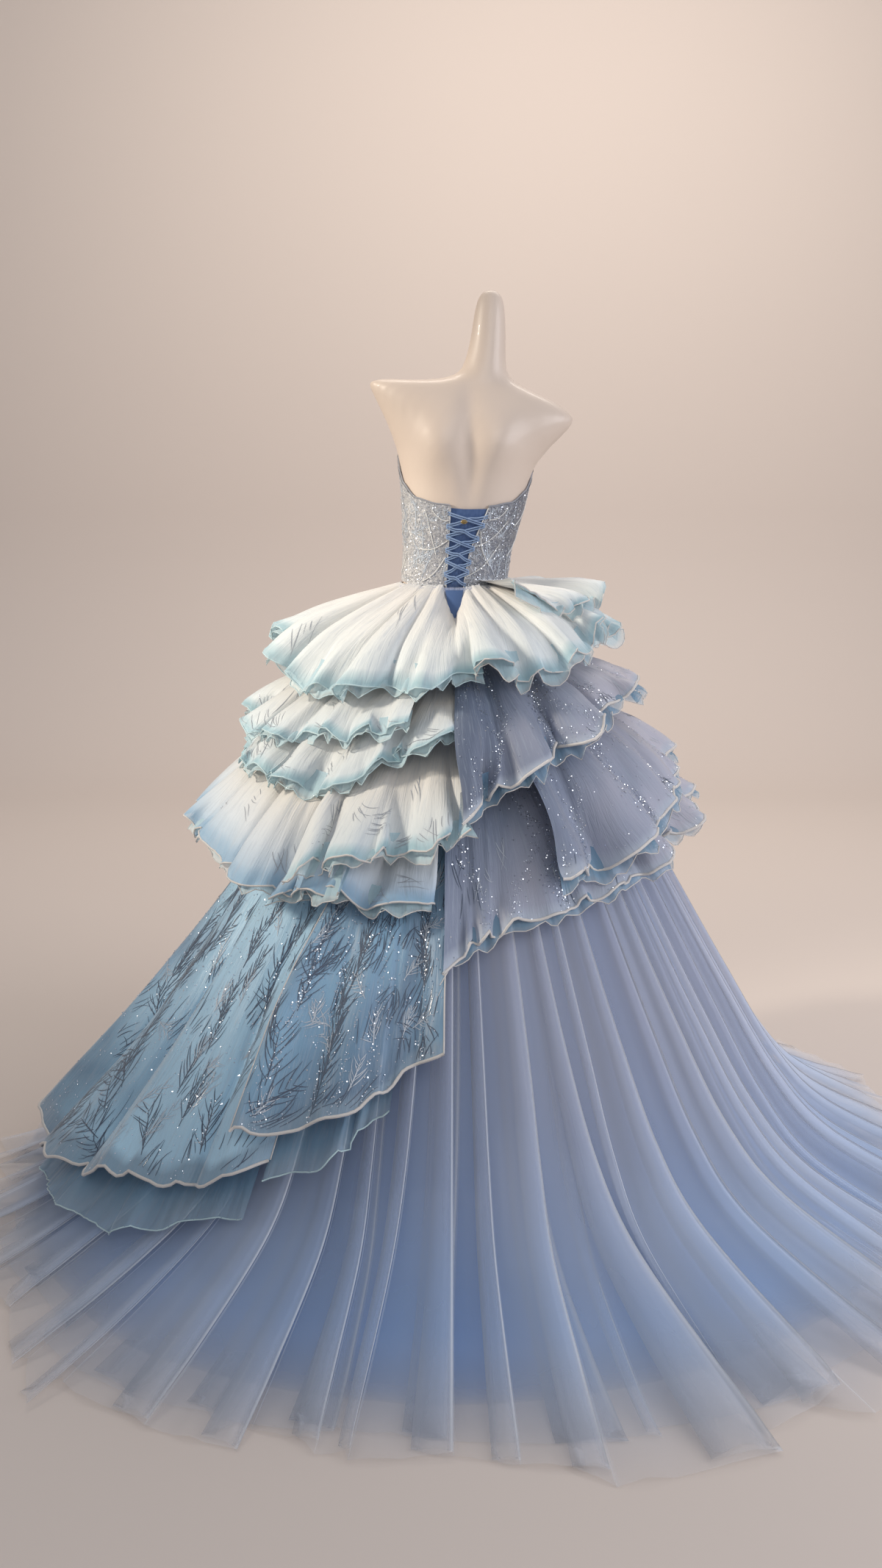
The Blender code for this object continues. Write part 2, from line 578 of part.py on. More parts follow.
def add_bead(materials, collection):
    """The small amber bead that sits on the upper lacing."""
    place = form_point(BEAD_ANGLE, BEAD_Z, BEAD_OFFSET)
    bpy.ops.mesh.primitive_uv_sphere_add(segments=16, ring_count=8, radius=BEAD_RADIUS, location=place)
    bead = bpy.context.object
    bead.name = "lacing_bead"
    bead.scale = BEAD_STRETCH
    bpy.ops.object.transform_apply(location=False, rotation=False, scale=True)
    bead.data.materials.append(materials["amber_bead"])
    for old in bead.users_collection:
        old.objects.unlink(bead)
    collection.objects.link(bead)


def add_binding(materials, collection):
    """The piping on the bodice's top edge, from each side of the lacing to the centre front."""
    spans = (
        ("binding_left", (OPENING_LEFT[2] - 0.5, -62, -108, -160, -179.7)),
        ("binding_right", (OPENING_RIGHT[2] + 0.5, 62, 108, 160, 179.7)),
    )
    for name, seams in spans:
        angles = [seams[0]]
        for start, end, count in zip(seams, seams[1:], BINDING_STEPS):
            angles.extend(np.linspace(start, end, count + 1)[1:])
        out = CORSET_OFFSET + CORSET_THICKNESS / 2
        rise = BINDING_RADIUS * 1.4 + SEAM_GAP * 2
        points = form_point(angles, neckline(angles) + rise, out)
        tube(name, points, BINDING_RADIUS, materials["corset_binding"], collection)


def add_skirt(materials, collection):
    for layer, values in enumerate(SKIRT_LAYERS):
        row = dict(zip(SKIRT_COLUMNS, values))
        for gore, first, last in GORES:
            angle, down = grid(first + GORE_INSET, last - GORE_INSET, row["columns"], row["rows"] + 1)
            points = skirt_point(layer, angle, down)
            loft(f"{row['name']}_{gore}", points, materials[row["material"]], collection, row["thickness"])


def add_tiers(materials, collection):
    worn = []
    for values in TIERS:
        tier = dict(zip(TIER_COLUMNS, values))
        angles, z, radius = tier_grid(tier, worn)
        worn.append((angles, z, radius))
        points = around(np.broadcast_to(angles, z.shape), radius, z)
        loft(tier["name"], points, materials[tier["material"]], collection, CLOTH_THICKNESS)


def main():
    clear_scene()
    materials = make_materials()
    gown = make_collection("ball_gown_on_dress_form")
    add_form(materials, gown)
    add_stand(materials, gown)
    add_bodice(materials, gown)
    add_basque(materials, gown)
    add_lacing(materials, gown)
    add_bead(materials, gown)
    add_binding(materials, gown)
    add_skirt(materials, gown)
    add_tiers(materials, gown)


main()
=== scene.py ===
"""Looks of the strapless ball gown on its dress form: tulle, chiffon, lace, embroidery and light.

Metres, +Z up, in the row frame: the gown's back, which the camera sees, faces -Y. Angles run round the
body from the centre back, 0, to the wearer's right side, +90, as in the solids. Cloth is drawn finer on its
CAD wall's own form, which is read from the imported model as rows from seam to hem.
"""

import math

import bpy
import numpy as np
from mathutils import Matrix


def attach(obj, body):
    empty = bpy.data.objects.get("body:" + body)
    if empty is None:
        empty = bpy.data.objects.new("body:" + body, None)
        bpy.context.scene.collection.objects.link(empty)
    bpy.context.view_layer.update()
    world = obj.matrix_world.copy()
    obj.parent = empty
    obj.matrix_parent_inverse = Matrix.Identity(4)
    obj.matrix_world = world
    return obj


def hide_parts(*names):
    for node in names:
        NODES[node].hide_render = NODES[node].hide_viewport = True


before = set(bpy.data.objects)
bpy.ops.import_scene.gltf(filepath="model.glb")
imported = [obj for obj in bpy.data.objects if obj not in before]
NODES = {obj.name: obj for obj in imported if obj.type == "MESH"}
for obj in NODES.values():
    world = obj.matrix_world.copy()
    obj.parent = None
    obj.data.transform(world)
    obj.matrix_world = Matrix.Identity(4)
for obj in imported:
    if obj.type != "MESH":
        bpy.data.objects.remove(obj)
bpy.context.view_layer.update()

# Heights and angles that the solids use
NECK_EDGE_Z = 1.334
WAIST_SEAM_Z = 1.178


# Grids of points


def spline(values, at, closed=False):
    """Values read at fractional places along their first axis, on a smooth curve through them."""
    count = len(values)
    whole = np.floor(at).astype(int)
    if not closed:
        whole = np.clip(whole, 0, count - 2)
    share = (at - whole).reshape(-1, *[1] * (values.ndim - 1))

    def beside(step):
        index = whole + step
        return values[index % count] if closed else values[np.clip(index, 0, count - 1)]

    before, here, after, beyond = (beside(step) for step in (-1, 0, 1, 2))
    bend = 2 * before - 5 * here + 4 * after - beyond
    twist = 3 * (here - after) + beyond - before
    return here + 0.5 * share * (after - before + share * (bend + share * twist))


def refine(grid, rows, columns):
    """A grid of points drawn finer, with this many rows and columns."""
    down = spline(grid, np.linspace(0, len(grid) - 1, rows))
    return spline(down.swapaxes(0, 1), np.linspace(0, grid.shape[1] - 1, columns)).swapaxes(0, 1)


def unit(vectors):
    return vectors / np.maximum(np.linalg.norm(vectors, axis=-1, keepdims=True), 1e-12)


def normals(grid):
    """Outward directions on a grid whose rows run down and columns by rising angle."""
    return unit(np.cross(np.gradient(grid, axis=0), np.gradient(grid, axis=1)))


def along(grid):
    """Metres along each row, measured on the last row, and metres down each column."""
    hem = np.linalg.norm(np.diff(grid[-1], axis=0), axis=-1)
    across = np.concatenate([[0], np.cumsum(hem)])
    drop = np.linalg.norm(np.diff(grid, axis=0), axis=-1)
    down = np.concatenate([np.zeros((1, grid.shape[1])), np.cumsum(drop, axis=0)])
    return np.broadcast_to(across, grid.shape[:2]), down


def wall_grid(name):
    """The middle of a CAD cloth wall, in rows from its seam to its hem and columns by rising angle."""
    found = np.array([v.co for v in NODES[name].data.vertices])
    found = np.unique(np.round(found, 6), axis=0)
    centre = found.mean(axis=0)
    middle = math.degrees(math.atan2(centre[0], -centre[1]))
    angle = np.degrees(np.arctan2(found[:, 0], -found[:, 1]))
    angle = (angle - middle + 180) % 360 - 180
    order = np.argsort(angle)
    breaks = np.flatnonzero(np.diff(angle[order]) > 0.9) + 1
    columns = [found[part] for part in np.split(order, breaks)]
    columns = [column[np.argsort(-column[:, 2])] for column in columns]
    return np.stack([(column[0::2] + column[1::2]) / 2 for column in columns], axis=1)


def skirt_ring(layer):
    """A skirt layer's four gores as one grid that closes on itself, starting at the wearer's left side."""
    gores = [wall_grid(name) for name in skirt_names(layer)]
    parts = []
    for before, gore in zip(gores[-1:] + gores[:-1], gores):
        seam = (before[:, -1:] + gore[:, :1]) / 2
        parts.extend([seam, gore[:, 1:-1]])
    return np.concatenate(parts, axis=1)


def step(low, high, value):
    """0 below low, 1 above high and an S between them."""
    share = np.clip((value - low) / (high - low), 0, 1)
    return share * share * (3 - 2 * share)


def wander(at, length, seed, octaves=3):
    """A smooth uneven curve from about -1 to 1, with this length between its swells, in the unit of at."""
    made = np.random.default_rng(seed)
    total = 0
    for octave in range(octaves):
        phase = made.uniform(0, 2 * math.pi, 3)
        speed = made.uniform(0.75, 1.3, 3) * 2 * math.pi / length * 1.7**octave
        total = total + sum(np.sin(at * s + p) for s, p in zip(speed, phase)) / 3 / 1.6**octave
    return total


# Making pieces


def link_piece(piece, replaces=(), slot=None):
    """Puts a piece in the scene on the part's one body, in place of the solids that it replaces."""
    bpy.context.scene.collection.objects.link(piece)
    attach(piece, "root")
    if replaces:
        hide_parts(*replaces)
    return piece


def add_mesh(name, points, faces, material, uvs=None, smooth_shade=True, **keys):
    """A piece from points and faces. uvs maps a map's name to a coordinate for each point."""
    mesh = bpy.data.meshes.new(name)
    mesh.from_pydata(np.asarray(points).tolist(), [], faces)
    corners = np.empty(len(mesh.loops), dtype=np.int32)
    mesh.loops.foreach_get("vertex_index", corners)
    for map_name, values in (uvs or {}).items():
        layer = mesh.uv_layers.new(name=map_name)
        layer.data.foreach_set("uv", np.asarray(values, dtype=np.float32)[corners].ravel())
    if smooth_shade:
        mesh.shade_smooth()
    mesh.materials.append(material)
    mesh.validate()
    return link_piece(bpy.data.objects.new(name, mesh), **keys)


def grid_faces(rows, columns, closed=False):
    row = np.arange(rows - 1)[:, None] * columns
    column = np.arange(columns if closed else columns - 1)[None, :]
    after = (column + 1) % columns
    corners = (row + column, row + columns + column, row + columns + after, row + after)
    return np.stack(np.broadcast_arrays(*corners), -1).reshape(-1, 4)


def add_cloth(name, grid, material, share, metres, more=None, **keys):
    """A sheet through a grid. share is 0 to 1 across and down it, and metres the real distances."""
    rows, columns = grid.shape[:2]
    uvs = {"Share": np.stack(share, -1).reshape(-1, 2), "Metres": np.stack(metres, -1).reshape(-1, 2)}
    uvs.update({key: np.reshape(values, (-1, 2)) for key, values in (more or {}).items()})
    faces = grid_faces(rows, columns).tolist()
    return add_mesh(name, grid.reshape(-1, 3), faces, material, uvs, **keys)


def tube_points(path, radius, sides=6):
    """A mesh tube's points round a path, with the faces between them and its ends closed."""
    path = np.asarray(path)
    ahead = unit(np.gradient(path, axis=0))
    up = np.zeros_like(path)
    guide = np.array([0.0, 0.0, 1.0])
    for place, direction in enumerate(ahead):
        guide = guide - direction * (guide @ direction)
        guide = guide / max(np.linalg.norm(guide), 1e-9)
        up[place] = guide
    beside = np.cross(ahead, up)
    turn = np.arange(sides) * 2 * math.pi / sides
    radius = np.broadcast_to(radius, len(path))[:, None, None]
    circle = beside[:, None] * np.cos(turn)[None, :, None] + up[:, None] * np.sin(turn)[None, :, None]
    points = (path[:, None] + radius * circle).reshape(-1, 3)
    faces = grid_faces(len(path), sides, closed=True)[:, ::-1].tolist()
    last = (len(path) - 1) * sides
    faces.append(list(range(sides)))
    faces.append([last + k for k in reversed(range(sides))])
    return points, faces


def join(shapes):
    """Several (points, faces) as one."""
    points, faces, base = [], [], 0
    for some, found in shapes:
        points.append(np.asarray(some))
        faces.extend([[base + index for index in face] for face in found])
        base += len(some)
    return np.concatenate(points), faces


def add_joined(name, shapes, material, **keys):
    """Several (points, faces) as one piece."""
    return add_mesh(name, *join(shapes), material, **keys)


class Surface:
    """A place on a grid, by its shares across and down."""

    def __init__(self, grid):
        self.grid = grid
        self.normal = normals(grid)
        self.across, self.down = (np.asarray(part) for part in along(grid))
        self.width = float(self.across[-1, -1])
        self.drop = float(self.down[-1].mean())

    def at(self, u, v, out=0.0):
        rows, columns = self.grid.shape[:2]
        row = np.clip(np.asarray(v), 0, 1) * (rows - 1)
        column = np.clip(np.asarray(u), 0, 1) * (columns - 1)
        top = np.minimum(row.astype(int), rows - 2)
        left = np.minimum(column.astype(int), columns - 2)
        down, over = (row - top)[..., None], (column - left)[..., None]

        def mix(values):
            upper = values[top, left] * (1 - over) + values[top, left + 1] * over
            lower = values[top + 1, left] * (1 - over) + values[top + 1, left + 1] * over
            return upper * (1 - down) + lower * down

        normal = unit(mix(self.normal))
        return mix(self.grid) + normal * out, normal


# Materials


class Shader:
    """A Principled material and the nodes that feed it."""

    def __init__(self, name, **values):
        self.material = bpy.data.materials.new(name)
        self.material.use_nodes = True
        self.tree = self.material.node_tree
        self.base = self.tree.nodes["Principled BSDF"]
        for socket, value in values.items():
            self.base.inputs[socket.replace("_", " ")].default_value = value

    def node(self, kind, **settings):
        made = self.tree.nodes.new(kind)
        for key, value in settings.items():
            if key in made.inputs:
                self.feed(made, key, value)
            else:
                setattr(made, key, value)
        return made

    def feed(self, node, socket, value):
        target = node.inputs[socket]
        if hasattr(value, "is_output"):
            self.tree.links.new(value, target)
        else:
            target.default_value = value

    def link(self, socket, value):
        self.feed(self.base, socket, value)

    def uv(self, name, scale=(1, 1, 1)):
        where = self.node("ShaderNodeUVMap", uv_map=name)
        return self.node("ShaderNodeMapping", Vector=where.outputs[0], Scale=scale).outputs[0]

    def place(self, scale=(1, 1, 1)):
        where = self.node("ShaderNodeTexCoord")
        return self.node("ShaderNodeMapping", Vector=where.outputs["Object"], Scale=scale).outputs[0]

    def split(self, vector):
        parts = self.node("ShaderNodeSeparateXYZ", Vector=vector)
        return parts.outputs[0], parts.outputs[1]

    def noise(self, vector, scale, detail=3.0, roughness=0.5, distortion=0.0):
        made = self.node(
            "ShaderNodeTexNoise",
            Vector=vector,
            Scale=scale,
            Detail=detail,
            Roughness=roughness,
            Distortion=distortion,
        )
        return made.outputs["Fac"]

    def voronoi(self, vector, scale, feature="F1", output="Distance"):
        made = self.node("ShaderNodeTexVoronoi", feature=feature, Vector=vector, Scale=scale)
        return made.outputs[output]

    def math(self, operation, first, second=0.0, third=None):
        made = self.tree.nodes.new("ShaderNodeMath")
        made.operation = operation
        for index, value in enumerate((first, second, third)):
            if value is not None:
                self.feed(made, index, value)
        return made.outputs[0]

    def ramp(self, value, stops, smooth_steps=False):
        """stops are (place, colour) or (place, grey)."""
        made = self.node("ShaderNodeValToRGB", Fac=value)
        band = made.color_ramp
        band.interpolation = "EASE" if smooth_steps else "LINEAR"
        while len(band.elements) < len(stops):
            band.elements.new(1.0)
        for element, (place, colour) in zip(band.elements, stops):
            colour = (colour, colour, colour) if isinstance(colour, (int, float)) else colour
            element.position = place
            element.color = (*colour, 1.0)
        return made.outputs[0]

    def mix(self, share, first, second, blend="MIX"):
        made = self.tree.nodes.new("ShaderNodeMix")
        made.data_type = "RGBA"
        made.blend_type = blend
        self.feed(made, 0, share)
        for index, value in ((6, first), (7, second)):
            colour = (*value, 1.0) if isinstance(value, tuple) and len(value) == 3 else value
            self.feed(made, index, colour)
        return made.outputs[2]

    def bump(self, height, strength, distance, under=None):
        made = self.node("ShaderNodeBump", Strength=strength, Distance=distance, Height=height)
        if under is not None:
            self.feed(made, "Normal", under)
        return made.outputs[0]

    def facing(self, blend=0.5):
        return self.node("ShaderNodeLayerWeight", Blend=blend).outputs["Facing"]


PALE_NET = (0.78, 0.82, 0.88)
LAVENDER_NET = (0.56, 0.56, 0.66)


def tulle_material(name, high, low, open_share, edge):
    """Fine net. It is denser where it turns away and at its folded edges, and changes colour down the skirt.

    high and low are two colours each, for the skirt's upper and lower half."""
    shader = Shader(
        name, Roughness=0.75, Sheen_Weight=0.35, Sheen_Roughness=0.4, Sheen_Tint=(0.85, 0.90, 1.0, 1.0)
    )
    across, down = shader.split(shader.uv("Share"))
    tint, weight = shader.split(shader.uv("Strip"))
    mist = shader.noise(shader.uv("Metres", (5, 1.2, 1)), 1.0, 2.0)
    colour = shader.ramp(down, ((0.0, high[0]), (0.45, high[1]), (0.80, low[0]), (1.0, low[1])))
    pale = shader.math("MULTIPLY_ADD", tint, 0.30, shader.math("MULTIPLY_ADD", mist, 0.30, -0.12))
    colour = shader.mix(pale, colour, PALE_NET)
    rim = shader.ramp(across, ((0.0, 0.7), (0.03, 0.0), (0.955, 0.0), (0.985, 1.0), (1.0, 0.6)))
    # Paler colour along each strip's folded edges is a painted highlight. The same rim also makes the net
    # denser there, which is real.
    colour = shader.mix(shader.math("MULTIPLY", rim, 0.7), colour, PALE_NET)
    cloud = shader.noise(shader.place((1.6, 1.6, 1.2)), 1.0, 2.0)
    above = shader.math("SUBTRACT", 1.1, down)
    grey = shader.math("MULTIPLY", shader.ramp(cloud, ((0.38, 0.0), (0.62, 0.5))), above)
    colour = shader.mix(grey, colour, LAVENDER_NET)
    shader.link("Base Color", colour)
    turned = shader.math("POWER", shader.facing(0.5), 2.2)
    density = shader.math("MULTIPLY_ADD", mist, 0.20, open_share - 0.18)
    density = shader.math("MULTIPLY_ADD", weight, 0.16, density)
    density = shader.math("MULTIPLY_ADD", turned, 0.55, density)
    density = shader.math("MULTIPLY_ADD", rim, edge, density)
    thin = shader.ramp(down, ((0.0, 1.0), (0.72, 1.0), (0.90, 0.66), (1.0, 0.42)))
    density = shader.math("MULTIPLY", density, thin)
    shader.link("Alpha", shader.math("MINIMUM", density, 0.95))
    net = shader.voronoi(shader.uv("Metres", (420, 420, 1)), 1.0)
    shader.link("Roughness", shader.math("MULTIPLY_ADD", mist, 0.2, 0.65))
    shader.link("Normal", shader.bump(net, 0.15, 0.0006))
    return shader.material


def satin_material(name, high, low, hem=1.0):
    """Satin, from one colour above to another below. hem is how solid it is at the hem."""
    shader = Shader(name, Roughness=0.45, Sheen_Weight=0.4, Sheen_Roughness=0.35, Specular_IOR_Level=0.45)
    _, down = shader.split(shader.uv("Share"))
    cloud = shader.noise(shader.uv("Metres", (1.6, 1.0, 1)), 1.6, 3.0)
    colour = shader.ramp(down, ((0.0, high), (0.5, high), (1.0, low)))
    shade = shader.ramp(cloud, ((0.3, (0.80, 0.84, 0.92)), (0.7, (1.0, 1.0, 1.0))))
    shader.link("Base Color", shader.mix(1.0, colour, shade, "MULTIPLY"))
    shader.link("Alpha", shader.ramp(down, ((0.84, 1.0), (1.0, hem))))
    thread = shader.noise(shader.uv("Metres", (2400, 260, 1)), 1.0, 2.0)
    crease = shader.noise(shader.uv("Metres", (55, 6, 1)), 1.0, 3.0)
    shader.link("Roughness", shader.math("MULTIPLY_ADD", thread, 0.18, 0.38))
    shader.link("Normal", shader.bump(thread, 0.12, 0.0004, shader.bump(crease, 0.35, 0.004)))
    return shader.material


def chiffon_material(
    name, stops, edge_colour, solid=0.93, edge_open=0.30, roughness=0.54, streak=None, rim_from=0.90,
    mottle=None, side_shading=(),
):
    """Crinkled chiffon or organza. stops colour it from seam to hem, and it thins out towards its edge.

    solid is how opaque it is, edge_open how much less at the hem, and rim_from where that begins. streak is
    painted light and mottle painted shade, in soft patches that stand for broad folds. The last argument
    paints light and shade from
    side to side: a colour, where it is strongest and where it ends.
    where it ends."""
    shader = Shader(
        name,
        Roughness=0.55,
        Sheen_Weight=0.45,
        Sheen_Roughness=0.35,
    )
    across, down = shader.split(shader.uv("Share"))
    patch = shader.noise(shader.uv("Metres", (9, 7, 1)), 1.0, 2.0)
    colour = shader.ramp(down, stops)
    # Dark patches of painted shade, standing for the shadowed sides of broad folds.
    if mottle:
        dusk = shader.noise(shader.uv("Metres", (7, 4, 1)), 1.0, 3.0, 0.62)
        colour = shader.mix(shader.ramp(dusk, ((0.46, 0.0), (0.70, 0.70))), colour, mottle)
    # Pale patches of painted light, standing for the lit sides of broad folds.
    if streak:
        light = shader.noise(shader.uv("Metres", (4, 3, 1)), 1.0, 3.0)
        colour = shader.mix(shader.ramp(light, ((0.40, 0.0), (0.66, 0.85))), colour, streak)
    # Painted light and painted shade from side to side, for how the studio light falls across the sheet.
    for tint, most, none in side_shading:
        colour = shader.mix(shader.ramp(across, sorted(((most, 0.75), (none, 0.0)))), colour, tint)
    rim = shader.ramp(shader.math("MULTIPLY_ADD", patch, 0.10, down), ((rim_from, 0.0), (1.0, 1.0)))
    colour = shader.mix(shader.math("MULTIPLY", rim, 0.75), colour, edge_colour)
    crinkle = shader.noise(shader.uv("Metres", (150, 16, 1)), 1.0, 2.0, 0.6, 0.6)
    # Grey in the crinkles' hollows is painted shade. The same noise also bumps the surface and varies its
    # roughness, which is real.
    colour = shader.mix(shader.ramp(crinkle, ((0.25, 0.42), (0.48, 0.0))), colour, (0.36, 0.42, 0.50))
    shader.link("Base Color", colour)
    alpha = shader.math("MULTIPLY_ADD", rim, -edge_open, solid)
    alpha = shader.math("MULTIPLY_ADD", shader.math("POWER", shader.facing(0.5), 2.0), edge_open, alpha)
    shader.link("Alpha", shader.math("MINIMUM", alpha, 1.0))
    shader.link("Roughness", shader.math("MULTIPLY_ADD", crinkle, 0.25, roughness - 0.12))
    weave = shader.noise(shader.uv("Metres", (1500, 1500, 1)), 1.0, 1.0)
    shader.link("Normal", shader.bump(weave, 0.10, 0.0003, shader.bump(crinkle, 0.55, 0.0025)))
    return shader.material


def cord_material(name, colour, roughness=0.35):
    shader = Shader(name, Roughness=roughness, Sheen_Weight=0.3, Coat_Weight=0.2)
    twist = shader.noise(shader.place((900, 900, 900)), 1.0, 2.0)
    shader.link("Base Color", shader.mix(twist, colour, tuple(0.72 * c for c in colour)))
    shader.link("Roughness", shader.math("MULTIPLY_ADD", twist, 0.3, roughness))
    shader.link("Normal", shader.bump(twist, 0.4, 0.0005))
    return shader.material


def glitter_material(name, colour):
    shader = Shader(name, Metallic=0.85, Roughness=0.18)
    glow = shader.noise(shader.place((60, 60, 60)), 1.0, 2.0)
    shader.link("Base Color", shader.mix(glow, colour, (0.80, 0.88, 1.0)))
    shader.link("Roughness", shader.math("MULTIPLY_ADD", glow, 0.25, 0.10))
    return shader.material


def form_material():
    shader = Shader("form_shell_look", Roughness=0.42, Coat_Weight=0.12)
    cloud = shader.noise(shader.place((6, 6, 6)), 1.0, 3.0)
    grain = shader.noise(shader.place((500, 500, 500)), 1.0, 2.0)
    shader.link("Base Color", shader.mix(cloud, (0.64, 0.53, 0.45), (0.70, 0.59, 0.50)))
    shader.link("Roughness", shader.math("MULTIPLY_ADD", cloud, 0.14, 0.36))
    shader.link("Normal", shader.bump(grain, 0.06, 0.0006))
    return shader.material


def lace_material():
    """Silver corded lace over grey-blue satin: a net of thread with raised petals and a dusting of glitter.

    It is paler on the side that the studio light comes from."""
    shader = Shader("corset_lace_look", Roughness=0.4, Sheen_Weight=0.3, Sheen_Roughness=0.3)
    spot = shader.place((1, 1, 1))
    drift = shader.noise(spot, 52.0, 4.0, 0.6, 1.2)
    net = shader.voronoi(spot, 380.0, "DISTANCE_TO_EDGE")
    petal = shader.voronoi(spot, 120.0, "SMOOTH_F1")
    thread = shader.ramp(net, ((0.03, 1.0), (0.12, 0.0)))
    leaf = shader.ramp(petal, ((0.22, 1.0), (0.42, 0.0)), True)
    vine = shader.ramp(drift, ((0.44, 0.0), (0.485, 1.0), (0.515, 1.0), (0.56, 0.0)), True)
    raised = shader.math("MAXIMUM", leaf, vine)
    ground = shader.mix(shader.noise(spot, 9.0), (0.15, 0.17, 0.22), (0.27, 0.27, 0.30))
    colour = shader.mix(shader.math("MULTIPLY", thread, 0.5), ground, (0.46, 0.47, 0.51))
    colour = shader.mix(shader.math("MULTIPLY", raised, 0.60), colour, (0.58, 0.58, 0.59))
    # Painted light on the left of the bodice and painted shade on its right.
    side = shader.math("MULTIPLY_ADD", shader.split(spot)[0], 4.0, 0.5)
    colour = shader.mix(shader.ramp(side, ((0.10, 0.45), (0.50, 0.0))), colour, (0.72, 0.71, 0.69))
    colour = shader.mix(shader.ramp(side, ((0.45, 0.0), (0.95, 0.55))), colour, (0.08, 0.09, 0.12))
    shader.link("Base Color", colour)
    bright, _ = shader.split(shader.voronoi(spot, 620.0, output="Color"))
    lit = shader.math("GREATER_THAN", bright, 0.86)
    shader.link("Metallic", shader.math("MULTIPLY_ADD", lit, 0.45, 0.08))
    shader.link("Roughness", shader.math("MULTIPLY_ADD", lit, -0.20, 0.48))
    shader.link("Normal", shader.bump(thread, 0.3, 0.0006, shader.bump(raised, 0.8, 0.0012)))
    return shader.material


def metal_material():
    shader = Shader("stand_steel_look", Metallic=1.0, Roughness=0.3)
    brushed = shader.noise(shader.place((8, 8, 900)), 1.0, 3.0)
    shader.link("Base Color", shader.mix(brushed, (0.52, 0.52, 0.54), (0.68, 0.68, 0.70)))
    shader.link("Roughness", shader.math("MULTIPLY_ADD", brushed, 0.22, 0.22))
    shader.link("Normal", shader.bump(brushed, 0.08, 0.0004))
    return shader.material


